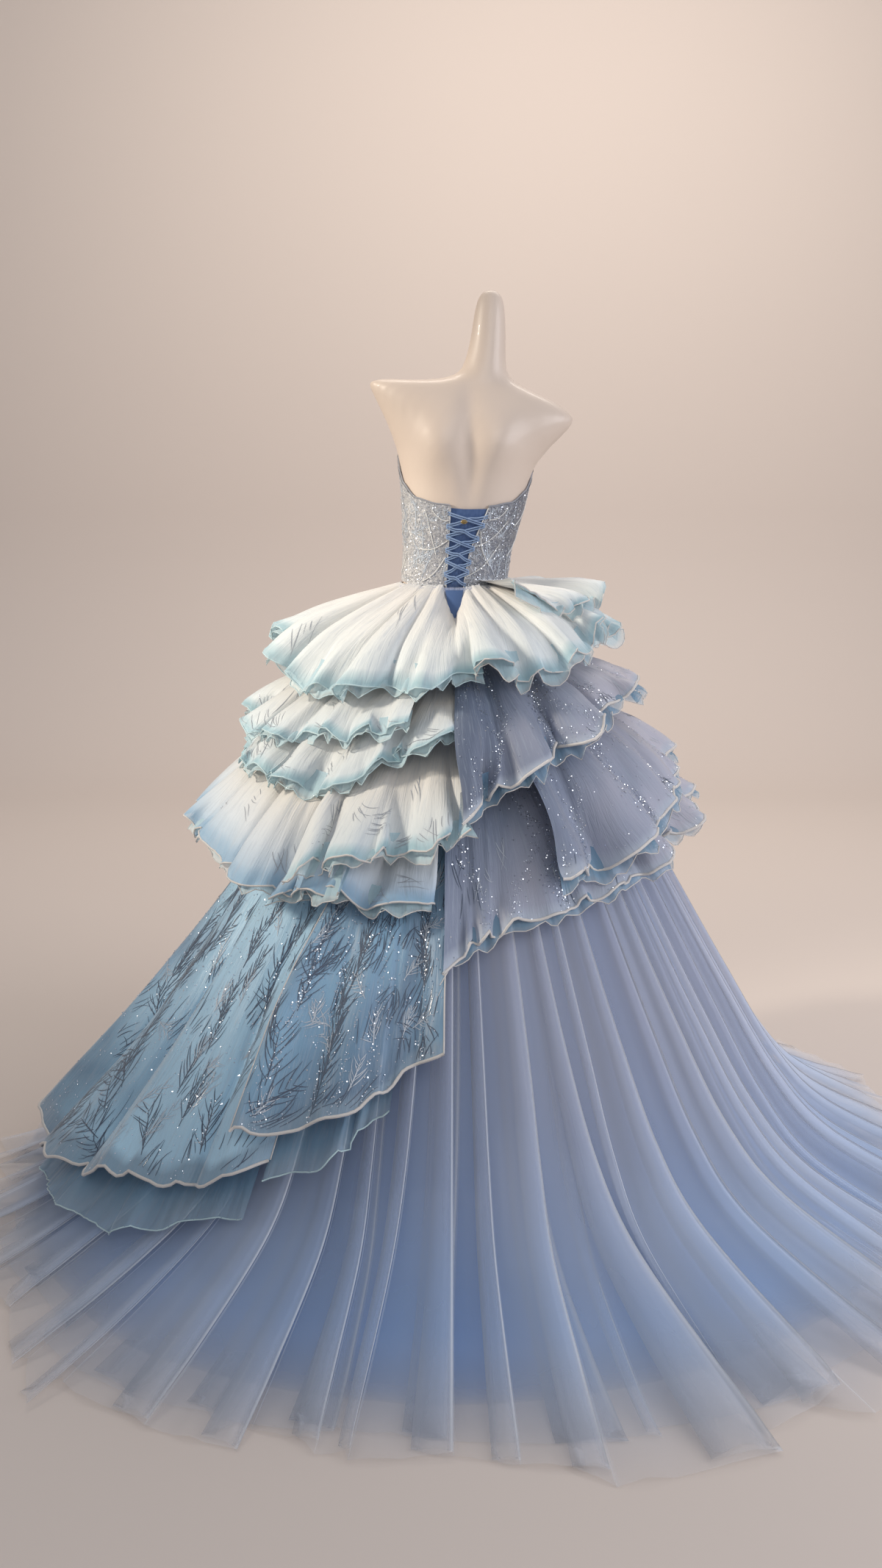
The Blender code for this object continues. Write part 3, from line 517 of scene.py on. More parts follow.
AQUA = (0.36, 0.60, 0.68)
LOOKS = {
    "form": form_material(),
    "steel": metal_material(),
    "lace": lace_material(),
    "underskirt": satin_material("underskirt_look", (0.12, 0.25, 0.50), (0.17, 0.38, 0.78), 0.05),
    "tulle_inner": tulle_material(
        "tulle_inner_look",
        ((0.32, 0.38, 0.58), (0.28, 0.38, 0.60)),
        ((0.26, 0.42, 0.72), (0.50, 0.55, 0.66)),
        0.34,
        0.26,
    ),
    "tulle_outer": tulle_material(
        "tulle_outer_look",
        ((0.42, 0.45, 0.60), (0.38, 0.45, 0.62)),
        ((0.38, 0.52, 0.76), (0.64, 0.64, 0.68)),
        0.34,
        0.45,
    ),
    "peplum": chiffon_material(
        "peplum_look",
        ((0.0, (0.62, 0.66, 0.72)), (0.35, (0.74, 0.71, 0.67)), (1.0, (0.62, 0.70, 0.73))),
        AQUA,
        solid=0.94,
        edge_open=0.34,
    ),
    "white": chiffon_material(
        "tier_white_look",
        ((0.0, (0.46, 0.52, 0.60)), (0.40, (0.68, 0.65, 0.61)), (1.0, (0.56, 0.65, 0.70))),
        AQUA,
        solid=0.95,
        edge_open=0.30,
    ),
    "ombre": chiffon_material(
        "tier_ombre_look",
        (
            (0.0, (0.56, 0.58, 0.62)),
            (0.5, (0.68, 0.65, 0.60)),
            (0.75, (0.56, 0.62, 0.68)),
            (1.0, (0.24, 0.42, 0.60)),
        ),
        (0.30, 0.48, 0.66),
        solid=0.95,
        edge_open=0.22,
    ),
    "edging": chiffon_material(
        "edging_look",
        ((0.0, (0.42, 0.60, 0.68)), (1.0, (0.50, 0.68, 0.74))),
        (0.72, 0.84, 0.86),
        solid=0.66,
        edge_open=0.20,
    ),
    "grey": chiffon_material(
        "tier_grey_look",
        ((0.0, (0.15, 0.19, 0.27)), (0.45, (0.24, 0.28, 0.38)), (1.0, (0.30, 0.34, 0.45))),
        (0.50, 0.56, 0.66),
        solid=0.95,
        edge_open=0.16,
        roughness=0.46,
        streak=(0.38, 0.39, 0.48),
        rim_from=0.93,
        side_shading=(((0.15, 0.19, 0.28), 0.0, 0.10), ((0.48, 0.47, 0.54), 0.42, 0.14)),
    ),
    # A darker copy of the grey chiffon for the upper right tier: painted shadow of the peplum above it,
    # darkest at its left end.
    "grey_top": chiffon_material(
        "tier_grey_shaded_copy_look",
        ((0.0, (0.11, 0.15, 0.22)), (0.45, (0.22, 0.26, 0.35)), (1.0, (0.28, 0.32, 0.43))),
        (0.50, 0.56, 0.66),
        solid=0.95,
        edge_open=0.16,
        roughness=0.46,
        streak=(0.36, 0.37, 0.46),
        rim_from=0.93,
        side_shading=(((0.05, 0.08, 0.14), 0.0, 0.18), ((0.56, 0.53, 0.58), 0.40, 0.16)),
    ),
    "panel": chiffon_material(
        "panel_blue_look",
        (
            (0.0, (0.28, 0.42, 0.55)),
            (0.30, (0.29, 0.48, 0.68)),
            (0.62, (0.24, 0.42, 0.60)),
            (1.0, (0.06, 0.10, 0.16)),
        ),
        (0.20, 0.30, 0.40),
        solid=0.97,
        edge_open=0.08,
        roughness=0.44,
        streak=(0.46, 0.72, 0.90),
        rim_from=0.97,
        mottle=(0.13, 0.20, 0.31),
        side_shading=(((0.08, 0.13, 0.20), 0.42, 0.66), ((0.44, 0.68, 0.86), 0.84, 0.64)),
    ),
    "cascade": chiffon_material(
        "panel_grey_blue_look",
        (
            (0.0, (0.42, 0.52, 0.60)),
            (0.30, (0.24, 0.37, 0.52)),
            (0.75, (0.16, 0.28, 0.42)),
            (1.0, (0.10, 0.16, 0.24)),
        ),
        (0.24, 0.34, 0.44),
        solid=0.97,
        edge_open=0.08,
        roughness=0.44,
        streak=(0.26, 0.46, 0.64),
        rim_from=0.97,
        mottle=(0.13, 0.19, 0.28),
    ),
    "organza": chiffon_material(
        "organza_look",
        ((0.0, (0.10, 0.22, 0.36)), (1.0, (0.20, 0.37, 0.52))),
        (0.40, 0.56, 0.68),
        solid=0.60,
        edge_open=0.20,
    ),
    "blue": satin_material("corset_blue_look", (0.07, 0.13, 0.28), (0.07, 0.13, 0.28)),
    "lacing": cord_material("satin_cord_look", (0.24, 0.36, 0.58)),
    "pearl_cord": cord_material("pearl_cord_look", (0.70, 0.67, 0.64)),
    "aqua_cord": cord_material("aqua_cord_look", (0.54, 0.72, 0.76)),
    "binding": cord_material("binding_look", (0.30, 0.31, 0.35), 0.5),
    "embroidery": cord_material("embroidery_look", (0.07, 0.10, 0.16), 0.45),
    # Grey for strokes of painted shade in the white tiers' creases.
    "crease_shade_strokes": cord_material("crease_shade_look", (0.34, 0.37, 0.42), 0.5),
    "silver_thread": cord_material("silver_thread_look", (0.56, 0.62, 0.70), 0.25),
    "white_thread": cord_material("white_thread_look", (0.80, 0.80, 0.78), 0.35),
    "glitter": glitter_material("glitter_look", (0.86, 0.88, 0.92)),
    "amber": cord_material("amber_look", (0.20, 0.13, 0.03), 0.12),
}


# The form and its stand


BLADES_X = (-0.034, 0.090)
BLADES_Z = 1.455
SPINE_X = 0.030


def add_form():
    """The CAD form, rounded by subdivision, with soft shoulder blades and a hollow down the back."""
    node = NODES["form_torso"]
    mesh = node.data.copy()
    piece = link_piece(bpy.data.objects.new("form_shell", mesh), ("form_torso",), "form_shell")
    piece.modifiers.new("weld", "WELD").merge_threshold = 0.0001
    round_off = piece.modifiers.new("round", "SUBSURF")
    round_off.levels = 2
    round_off.render_levels = 2
    graph = bpy.context.evaluated_depsgraph_get()
    mesh = bpy.data.meshes.new_from_object(piece.evaluated_get(graph))
    piece.modifiers.clear()
    piece.data = mesh
    points = np.array([v.co for v in mesh.vertices])
    x, y, z = points.T
    behind = step(0.0, -0.04, y)
    height = np.exp(-(((z - BLADES_Z) / 0.055) ** 2))
    blade = sum(np.exp(-(((x - middle) / 0.040) ** 2)) for middle in BLADES_X) * height
    spine = np.exp(-(((x - SPINE_X) / 0.020) ** 2)) * step(1.30, 1.40, z) * step(1.60, 1.52, z)
    points[:, 1] -= behind * (0.014 * blade - 0.007 * spine)
    mesh.vertices.foreach_set("co", points.ravel())
    mesh.materials.clear()
    mesh.materials.append(LOOKS["form"])
    mesh.shade_smooth()


def dress_stand():
    """The stand's own solids stay, in brushed steel."""
    for name in ("stand_base", "stand_collar", "stand_pole"):
        NODES[name].data.materials.clear()
        NODES[name].data.materials.append(LOOKS["steel"])


# The skirt

GORES = ("back_left", "back_right", "front_right", "front_left")
SKIRT_START = -90


def skirt_names(layer):
    return [f"{layer}_{gore}" for gore in GORES]


def ring_rows(ring, rows, spread):
    """A ring's points drawn to more rows, closer together towards the hem."""
    at = (len(ring) - 1) * np.linspace(0, 1, rows) ** spread
    return spline(ring, at)


def add_underskirt():
    """Opaque satin in broad soft folds. Its hem lies on the floor."""
    rows, columns = 60, 420
    ring = ring_rows(skirt_ring("underskirt"), rows, 0.9)
    grid = spline(ring.swapaxes(0, 1), np.arange(columns + 1) * ring.shape[1] / columns, True).swapaxes(0, 1)
    angle = np.linspace(0, 360, columns + 1)
    down = np.linspace(0, 1, rows)[:, None] ** 0.9
    fold = 0.55 + 0.45 * wander(angle, 11.0, 3) * np.sin(np.radians(angle * 24) + 1.2 * wander(angle, 60, 4))
    depth = 0.010 * step(0.1, 0.6, down) * (1 - 0.5 * step(0.85, 1, down))
    blend = step(0, 8, angle) * step(360, 352, angle)
    grid = grid - normals(grid) * (depth * fold * blend)[..., None]
    grid[..., 2] = np.maximum(grid[..., 2], 0.0012)
    share = np.broadcast_arrays(angle / 360, down)
    across, drop = along(grid)
    piece = add_cloth(
        "underskirt_satin", grid, LOOKS["underskirt"], share, (across, drop),
        replaces=skirt_names("underskirt"), slot="underskirt",
    )
    declare(grid)


def declare(grid):
    """Works out a sheet's flat cut: its longest row by its mean drop, with the area that its taper leaves.
    The result is not kept.
    """
    lengths = np.linalg.norm(np.diff(grid, axis=1), axis=-1).sum(axis=1)
    drop = np.linalg.norm(np.diff(grid, axis=0), axis=-1).sum(axis=0)
    edges = (grid[1:, 1:] - grid[:-1, :-1], grid[1:, :-1] - grid[:-1, 1:])
    area = float(np.linalg.norm(np.cross(*edges), axis=-1).sum() / 2)
    flat = (round(float(lengths.max()), 2), round(float(drop.mean()), 3))
    whole = flat[0] * flat[1]
    area = float(np.clip(area, 0.31 * whole, whole))
    area = round(area, 4)


PLEAT_TOP = 7
PLEAT_BACK = 2


def pleated(ring, strips, seed, overlap, lift, rows, hem_reach, drift):
    """Knife pleats round a ring: each strip's face rises to its edge, folds back and goes on as the next.

    overlap is how much of a strip lies under its neighbour, lift how high an edge stands, hem_reach how
    unevenly the strips end, and drift how far, in strips, their edges wander sideways on the way down."""
    made = np.random.default_rng(seed)
    width = made.uniform(0.62, 1.38, strips)
    starts = np.concatenate([[0], np.cumsum(width)]) / width.sum()
    down = np.linspace(0, 1, rows) ** 0.85
    fine = spline(ring, down * (len(ring) - 1))
    count = ring.shape[1]
    edge_drift = made.uniform(-1, 1, strips + 1) * drift / strips
    edge_drift[-1] = edge_drift[0]
    reach = made.normal(0, 1, strips) * hem_reach
    slant = made.normal(0, 1, strips) * hem_reach
    lean = made.uniform(0.5, 1.0, strips)
    fade = step(0.25, 1.0, down)
    height = lift * (0.12 + 0.88 * step(0.28, 0.75, down)) * (1 - 0.45 * step(0.90, 1.0, down))
    bias = 0.18 * (1 - step(0.80, 1.0, down))
    place, rise, local, extra, owner = [], [], [], [], []
    for k in range(strips):
        left = starts[k] + edge_drift[k] * fade
        right = starts[k + 1] + edge_drift[k + 1] * fade
        back = overlap * (right - left) * step(0.0, 0.35, down)
        for share in np.linspace(0, 1, PLEAT_TOP):
            place.append(left + (right - left) * share)
            rise.append(0.06 + 0.94 * share**0.8 * lean[k])
            local.append(share)
            extra.append(reach[k] + slant[k] * (share - 0.5))
        for share in np.linspace(0.35, 1, PLEAT_BACK):
            place.append(right - back * share)
            rise.append(0.70 * lean[k] * (1 - share) + 0.22)
            local.append(0.5)
            extra.append(reach[k] + slant[k] * 0.5 - 0.012)
        place.append(right - back * 0.4)
        rise.append(0.05)
        local.append(0.5)
        extra.append(reach[(k + 1) % strips] - 0.012)
    place.append(place[0] + 1)
    rise.append(rise[0])
    local.append(local[0])
    extra.append(extra[0])
    place, rise, extra = np.array(place).T, np.array(rise), np.array(extra)
    grid = np.stack([spline(row, at * count, True) for row, at in zip(fine, place)])
    out = np.stack([spline(row, at * count, True) for row, at in zip(ring_normals(fine), place)])
    bearing = (place * 360 + SKIRT_START + 180) % 360 - 180
    calm = 1 - 0.6 * step(-136, -124, bearing) * (1 - step(-14, -4, bearing))
    ripple = wander(place * 360, 5.0, seed + 1, 2) * step(0.80, 1.0, down)[:, None] * 0.006
    grid = grid + unit(out) * (height[:, None] * calm * (rise - bias[:, None]) + ripple)[..., None]
    for k in range(strips):
        owner.extend([k] * (PLEAT_TOP + PLEAT_BACK + 1))
    owner.append(0)
    values = made.uniform(0, 1, (strips, 2))[owner]
    away = grid[-1, :, :2] / np.linalg.norm(grid[-1, :, :2], axis=-1, keepdims=True)
    grid[..., :2] += away * (extra * (down**9)[:, None])[..., None]
    grid[..., 2] = np.maximum(grid[..., 2], 0.002 + 0.004 * rise)
    return grid, down, np.array(local), values


def ring_normals(ring):
    """Outward directions on a closed grid."""
    around_ring = np.roll(ring, -1, 1) - np.roll(ring, 1, 1)
    return unit(np.cross(np.gradient(ring, axis=0), around_ring))


def add_tulle(name, layer, strips, seed, overlap, lift, rows, hem_reach, drift):
    ring = skirt_ring(layer)
    grid, down, local, values = pleated(ring, strips, seed, overlap, lift, rows, hem_reach, drift)
    across, drop = along(grid)
    share = np.broadcast_arrays(local, down[:, None])
    strip = np.broadcast_to(values[None], (len(down), len(local), 2))
    piece = add_cloth(
        name, grid, LOOKS[layer], share, (across, drop), {"Strip": strip},
        replaces=skirt_names(layer), slot=layer,
    )
    declare(grid)


# Tiers and panels


CREASE_SPACING = 0.024


def puff(turn):
    """Round crests with narrow creases between them, from 0 to 1."""
    return (np.sqrt(np.cos(turn / 2) ** 2 + 0.03) - 0.173) / 0.842


def ruffled(base, tier, rows, columns):
    """A wall's form with gathers at its seam, puffed flutes down it and a hem that waves in and out.

    wave is the length of one wave along the hem, height how far it stands in or out, curl how far it folds
    over itself sideways, gather the depth of the creases at the seam, flute the depth of the broad folds,
    inward the share of that depth that lies inside the wall, and lift how far its two edges stand out."""
    grid = refine(base, rows, columns)
    across, _ = along(grid)
    at = across[0]
    share = np.linspace(0, 1, rows)[:, None]
    out = normals(grid)
    side = unit(np.gradient(grid, axis=1))
    fall = unit(np.gradient(grid, axis=0))
    seed, wave, height = tier["seed"], tier["wave"], tier["height"]
    lean = 0.012 * wander(share * 0.5 + at * 0.5, 0.7, seed + 11)
    size = np.clip(0.75 + 0.55 * wander(at, wave * 4, seed + 1), 0.25, 1.4)
    turn = 2 * math.pi * (at + lean + wave * 0.40 * wander(at, wave * 3.5, seed)) / wave
    late = step(tier["lead"], 1.0, share) ** 1.3
    swing = height * size * np.sin(turn) * late
    length = tier["flute_wave"]
    broad = 2 * math.pi * (at + lean + 0.20 * length * wander(at, 2.2 * length, seed + 7)) / length
    deep = tier["flute"] * (0.85 + 0.35 * wander(at, 3 * length, seed + 8))
    flute = deep * (puff(broad) - tier["inward"]) * step(0.02, 0.9, share)
    over = -tier["curl"] * wave * size * np.sin(2 * turn + 0.5) * late**2
    over = over + tier["roll"] * length * np.sin(broad) * step(0.15, 1.0, share)
    pinch = 2 * math.pi * (at + lean) / CREASE_SPACING + 2.5 * wander(at, 0.11, seed + 2)
    crease = np.sin(pinch) + wander(at, 0.05, seed + 3)
    reach = 0.45 + 0.40 * wander(at, 0.045, seed + 4)
    fading = 1 - step(0.0, 1.0, share / np.clip(reach, 0.15, 1))
    gather = tier["gather"] * crease * fading * step(0, 0.04, share)
    slanted = at + 0.05 * share * wander(at, 0.5, seed + 6)
    soft = 0.0014 * wander(slanted, 0.06, seed + 5) * step(0.1, 0.5, share)
    frill = tier["frill"] * wander(at, 0.034, seed + 10) * step(0.80, 1.0, share)
    flip = height * 0.55 * size * np.cos(turn + 0.4) * late**2
    lobe = tier["scallop"] * (puff(broad) - 0.6) * step(0.4, 1.0, share)
    lobe = lobe + tier["lobe"] * (puff(turn * 1.1) - 0.5) * step(0.86, 1.0, share)
    first, last = tier["lift"]
    ends = first * np.exp(-((at / 0.05) ** 2)) + last * np.exp(-(((at[-1] - at) / 0.05) ** 2))
    rise = swing + flute + gather + soft + frill + ends * step(0.05, 0.7, share)
    lower = flip + lobe + 0.6 * frill
    grid = grid + out * rise[..., None] + side * over[..., None] + fall * lower[..., None]
    first, last = tier["widen"]
    reach = first * np.exp(-at / 0.04) - last * np.exp(-(at[-1] - at) / 0.04)
    return grid - side * (reach * np.ones_like(share))[..., None]


def hem_strip(grid, tier, rows):
    """A narrow organza edging behind a tier's hem, with a hem of its own that shows below the tier's."""
    kept = np.stack([grid[int(len(grid) * 0.78)], grid[-1]])
    for _ in range(30):
        kept[:, 1:-1] = (kept[:, :-2] + 2 * kept[:, 1:-1] + kept[:, 2:]) / 4
    start, end = kept
    at = np.concatenate([[0], np.cumsum(np.linalg.norm(np.diff(end, axis=0), axis=-1))])
    fall = unit(end - start)
    out = normals(kept)[-1]
    seed, wave = tier["seed"] + 60, tier["wave"] * 0.7
    turn = 2 * math.pi * (at + wave * 0.4 * wander(at, wave * 3, seed)) / wave
    share = np.linspace(0, 1, rows)[:, None, None]
    peek = tier["peek"] * (0.75 + 0.45 * wander(at, 0.16, seed + 1))[None, :, None]
    late = step(0.2, 1.0, share)
    swing = (0.5 * tier["height"] * np.sin(turn) + 0.0025 * wander(at, 0.030, seed + 2))[None, :, None] * late
    strip = start + (end - start) * share + fall * peek * share**1.5
    bump = (0.5 * tier["height"] * np.cos(turn + 0.6))[None, :, None] * late
    return strip - out * (0.004 + 0.005 * share) + out * swing + fall * bump


TIER_KEYS = (
    "cad", "look", "slot", "cord", "cord_radius", "wave", "height", "curl", "gather", "scallop",
    "flute", "flute_wave", "frill", "lead", "lift", "peek", "edging", "inward", "roll", "widen",
    "crown", "lobe",
)
NONE = (0, 0)
TIERS = (
    ("train_panel_underlay", "organza", "organza", "aqua_cord", 0.0014, 0.13, 0.008, 0.04, 0, 0.010, 0.012,
     0.20, 0.002, 0.6, NONE, 0, None, 0, 0, NONE, 0, 0.003),
    ("train_panel", "panel", "panel_blue", "pearl_cord", 0.0030, 0.105, 0.005, 0.02, 0.0006, 0.018, 0.050,
     0.24, 0.001, 0.7, NONE, 0, None, -0.2, 0.07, NONE, 0, 0.014),
    ("cascade_underlay", "organza", "organza", "aqua_cord", 0.0014, 0.09, 0.008, 0.04, 0, 0.010, 0.008,
     0.14, 0.002, 0.6, NONE, 0, None, 0, 0, NONE, 0, 0.003),
    ("cascade_panel", "cascade", "panel_blue", "pearl_cord", 0.0030, 0.095, 0.005, 0.02, 0.0006, 0.012, 0.024,
     0.19, 0.001, 0.7, (0.050, 0.0), 0, None, -0.1, 0.03, NONE, 0, 0.01),
    ("tier4_right", "grey", "tier_grey", "pearl_cord", 0.0028, 0.090, 0.010, 0.03, 0.0010, 0.016, 0.030,
     0.19, 0.001, 0.60, (0.012, 0), 0.016, "organza", 0.30, 0.05, NONE, 0, 0.008),
    ("tier4_left", "ombre", "tier_white", "pearl_cord", 0.0019, 0.12, 0.014, 0.05, 0.0010, 0.014, 0.026,
     0.14, 0.002, 0.40, (0, 0.008), 0.014, "edging", 0.30, 0.05, NONE, 0, 0.003),
    ("tier3_left", "ombre", "tier_white", "pearl_cord", 0.0019, 0.13, 0.014, 0.05, 0.0010, 0.020, 0.036,
     0.19, 0.002, 0.45, (0, 0.008), 0.014, "edging", 0.30, 0.06, NONE, 0, 0.003),
    ("tier3_right", "grey", "tier_grey", "pearl_cord", 0.0028, 0.085, 0.012, 0.03, 0.0010, 0.014, 0.038,
     0.18, 0.001, 0.55, (0.014, 0), 0.026, "organza", 0.20, 0.09, NONE, 0, 0.008),
    ("tier3_left_frill", "white", "tier_white", "pearl_cord", 0.0019, 0.085, 0.016, 0.07, 0.001, 0.014, 0.024,
     0.13, 0.002, 0.35, (0.01, 0.006), 0.014, "edging", 0.30, 0.06, NONE, 0, 0.003),
    ("tier2_left_frill", "white", "tier_white", "aqua_cord", 0.0014, 0.080, 0.014, 0.07, 0.0010, 0.014, 0.026,
     0.15, 0.003, 0.40, (0, 0.006), 0.012, "edging", 0.30, 0.06, NONE, 0, 0.003),
    ("tier2_right", "grey_top", "tier_grey", "pearl_cord", 0.0028, 0.085, 0.013, 0.04, 0.0010, 0.018, 0.046,
     0.17, 0.001, 0.50, (0.004, 0), 0.024, "organza", 0.20, 0.11, NONE, 0, 0.008),
    ("tier2_left", "white", "tier_white", "aqua_cord", 0.0014, 0.080, 0.015, 0.07, 0.0010, 0.014, 0.028,
     0.15, 0.003, 0.40, (0, 0.006), 0.012, "edging", 0.30, 0.06, NONE, 0, 0.003),
    ("peplum_left", "peplum", "peplum_white", "aqua_cord", 0.0014, 0.110, 0.017, 0.07, 0.0012, 0.012, 0.026,
     0.17, 0.003, 0.45, (0, 0.008), 0.012, "edging", 0.25, 0.05, (0, 0.016), 0.012, 0.003),
    ("peplum_right", "peplum", "peplum_white", "pearl_cord", 0.0015, 0.115, 0.026, 0.10, 0.0012, 0.012, 0.024,
     0.15, 0.003, 0.35, (0, 0), 0.020, "edging", 0.25, 0.05, (0.004, 0), 0.012, 0.003),
    ("peplum_frill", "peplum", "peplum_white", "pearl_cord", 0.0015, 0.110, 0.030, 0.10, 0.0010, 0.008, 0.012,
     0.12, 0.003, 0.15, (0, 0), 0.016, "edging", -0.4, 0.04, NONE, 0.014, 0.003),
)
SLOTS = {values[0]: values[2] for values in TIERS}
TIER_ROWS_PER_METRE = 130
TIER_COLUMNS_PER_METRE = 210


def crowned(base, crown):
    """A wall with one more row at its top, drawn in and up to the waist."""
    away = base[0] * (1, 1, 0)
    first = base[0] - unit(away) * crown * 1.5 + np.array([0, 0, crown * 0.8])
    return np.concatenate([first[None], base])


def add_tier(seed, values):
    """A tier or panel with its hem cord and, on most, an edging. Returns what the embroidery needs."""
    tier = dict(zip(TIER_KEYS, values), seed=31 + 17 * seed)
    cad = tier["cad"]
    base = wall_grid(cad)
    if tier["crown"]:
        base = crowned(base, tier["crown"])
    length = np.linalg.norm(np.diff(base[-1], axis=0), axis=-1).sum()
    drop = np.linalg.norm(np.diff(base, axis=0), axis=-1).sum(axis=0).max()
    columns = int(np.clip(length * TIER_COLUMNS_PER_METRE, 60, 520))
    rows = int(np.clip(drop * TIER_ROWS_PER_METRE, 24, 64))
    grid = ruffled(base, tier, rows, columns)
    share = np.meshgrid(np.linspace(0, 1, columns), np.linspace(0, 1, rows))
    keys = {"replaces": (cad,), "slot": tier["slot"]}
    piece = add_cloth(f"{cad}_cloth", grid, LOOKS[tier["look"]], share, along(grid), **keys)
    tubes = [tube_points(grid[-1, ::2], tier["cord_radius"])]
    if tier["look"] in ("panel", "cascade"):
        tubes.extend(tube_points(grid[:, end], 0.0014) for end in (0, -1))
    parts = []
    if tier["edging"]:
        strip = hem_strip(grid, tier, 9)
        share = np.meshgrid(np.linspace(0, 1, columns), np.linspace(0, 1, 9))
        look = LOOKS[tier["edging"]]
        frill = add_cloth(f"{cad}_edging", strip, look, share, along(strip), slot=tier["slot"])
        declare(strip)
        tubes.append(tube_points(strip[-1, ::2], 0.0010))
    parts.append(add_joined(f"{cad}_cord", tubes, LOOKS[tier["cord"]], slot=tier["slot"]))
    return {"piece": piece, "grid": grid, "parts": parts, "surface": Surface(grid)}


# Embroidery and glitter


def ribbons(surface, start, heading, length, bend, width, out=0.0007, steps=6):
    """Thin tapered stitches on a surface, from start, in metres across and down, along a bending heading."""
    share = np.linspace(0, 1, steps)
    turn = heading[:, None] + bend[:, None] * share
    stride = length[:, None] / (steps - 1)
    across = start[:, :1] + np.concatenate([0 * stride, np.cumsum(np.sin(turn[:, 1:]) * stride, 1)], 1)
    down = start[:, 1:] + np.concatenate([0 * stride, np.cumsum(np.cos(turn[:, 1:]) * stride, 1)], 1)
    u, v = across / surface.width, down / surface.drop
    inside = ((u > 0.004) & (u < 0.996) & (v > 0.01) & (v < 0.985)).all(axis=1)
    points, normal = surface.at(u[inside], v[inside], out)
    half = (width[:, None] * (0.25 + 0.75 * np.sin(math.pi * np.clip(share * 0.9 + 0.1, 0, 1))))[inside] / 2
    beside = unit(np.cross(normal, np.gradient(points, axis=1))) * half[..., None]
    points = np.stack([points - beside, points + beside], 2)
    count = len(points)
    base = (np.arange(count) * steps * 2)[:, None, None]
    at = np.arange(steps - 1)[None, :, None] * 2
    corners = np.array([0, 1, 3, 2])[None, None, :]
    return points.reshape(-1, 3), (base + at + corners).reshape(-1, 4)


def feathers(surface, sprigs, seed, barbs, barb_length, width):
    """Sprigs of needle-like stitches. A sprig is its root, in shares, its heading, length and curve."""
    made = np.random.default_rng(seed)
    starts, headings, lengths, bends, widths = [], [], [], [], []
    for u, v, heading, length, curve in sprigs:
        place = np.array([u * surface.width, v * surface.drop])
        turn = math.radians(heading)
        starts.append(place.copy())
        headings.append(turn)
        lengths.append(length)
        bends.append(curve)
        widths.append(width * 1.4)
        for k in range(barbs):
            share = (k + 0.5) / barbs
            now = turn + curve * share
            place = place + np.array([math.sin(now), math.cos(now)]) * length / barbs
            for side in (-1, 1):
                starts.append(place + made.normal(0, 0.0015, 2))
                headings.append(now + side * made.uniform(0.55, 1.0))
                lengths.append(barb_length * made.uniform(0.5, 1.25) * (1 - 0.45 * share))
                bends.append(-side * made.uniform(0.1, 0.6))
                widths.append(width * made.uniform(0.7, 1.1))
    values = (np.array(part) for part in (starts, headings, lengths, bends, widths))
    return ribbons(surface, *values)


def scattered_sprigs(seed, count, region, heading, spread, length):
    """Sprigs at random in a region of a surface, as (u0, u1, v0, v1), about one heading in degrees."""
    made = np.random.default_rng(seed)
    u0, u1, v0, v1 = region
    return [
        (
            made.uniform(u0, u1),
            made.uniform(v0, v1),
            heading + made.normal(0, spread),
            length * made.uniform(0.6, 1.3),
            made.normal(0, 0.35),
        )
        for _ in range(count)
    ]


def sequins(surface, u, v, radius, seed, out=0.0014):
    """Tiny six-sided spangles, each tilted its own way."""
    made = np.random.default_rng(seed)
    inside = (u > 0.004) & (u < 0.996) & (v > 0.01) & (v < 0.985)
    centre, normal = surface.at(u[inside], v[inside], out)
    normal = unit(normal + made.normal(0, 0.32, normal.shape))
    beside = unit(np.cross(normal, made.normal(0, 1, normal.shape)))
    ahead = np.cross(normal, beside)
    turn = np.arange(6) * math.pi / 3
    size = radius * made.uniform(0.6, 1.15, len(centre))[:, None, None]
    ring = beside[:, None] * np.cos(turn)[None, :, None] + ahead[:, None] * np.sin(turn)[None, :, None]
    points = (centre[:, None] + size * ring).reshape(-1, 3)
    return points, np.arange(len(points)).reshape(-1, 6)


def streaks(seed, lines, each, spread, top=0.25):
    """Places of glitter along lines that run down a surface, close together on the line."""
    made = np.random.default_rng(seed)
    u, v = [], []
    for _ in range(lines):
        start, lean = made.uniform(0.02, 0.98), made.normal(0, 0.03)
        down = made.uniform(top, 1.0, each)
        u.append(start + lean * down + 0.012 * np.sin(down * 9 + start * 30) + made.normal(0, spread, each))
        v.append(down)
    return np.concatenate(u), np.concatenate(v)


def brushes(surface, seed, groups, strokes, region, heading, length, width):
    """Groups of short, nearly parallel stitches."""
    made = np.random.default_rng(seed)
    u0, u1, v0, v1 = region
    starts, headings, lengths, bends, widths = [], [], [], [], []
    for _ in range(groups):
        place = np.array([made.uniform(u0, u1) * surface.width, made.uniform(v0, v1) * surface.drop])
        turn = math.radians(made.normal(heading, 22))
        ahead = np.array([math.cos(turn), -math.sin(turn)])
        for k in range(strokes):
            gap = made.uniform(0.007, 0.012)
            starts.append(place + ahead * (k - strokes / 2) * gap + made.normal(0, 0.003, 2))
            headings.append(turn + made.normal(0, 0.14))
            lengths.append(length * made.uniform(0.35, 1.2))
            bends.append(made.normal(0, 0.45))
            widths.append(width * made.uniform(0.6, 1.2))
    values = (np.array(part) for part in (starts, headings, lengths, bends, widths))
    return ribbons(surface, *values)


TRAIN_BRANCHES = (
    (0.36, 0.10, 0.30, 0.95), (0.47, 0.08, 0.40, 0.96), (0.56, 0.06, 0.53, 0.97), (0.66, 0.05, 0.64, 0.60),
    (0.74, 0.05, 0.70, 0.97), (0.84, 0.06, 0.86, 0.95), (0.93, 0.08, 0.92, 0.90), (0.62, 0.60, 0.78, 0.97),
    (0.22, 0.15, 0.15, 0.95), (0.10, 0.15, 0.05, 0.95),
)
CASCADE_BRANCHES = ((0.12, 0.10, 0.06, 0.95), (0.42, 0.12, 0.30, 0.97), (0.75, 0.10, 0.85, 0.70))


SEQUIN_RADIUS = 0.0013
SPRIG_SPACING = 0.055
SPRIG_LENGTH = 0.075


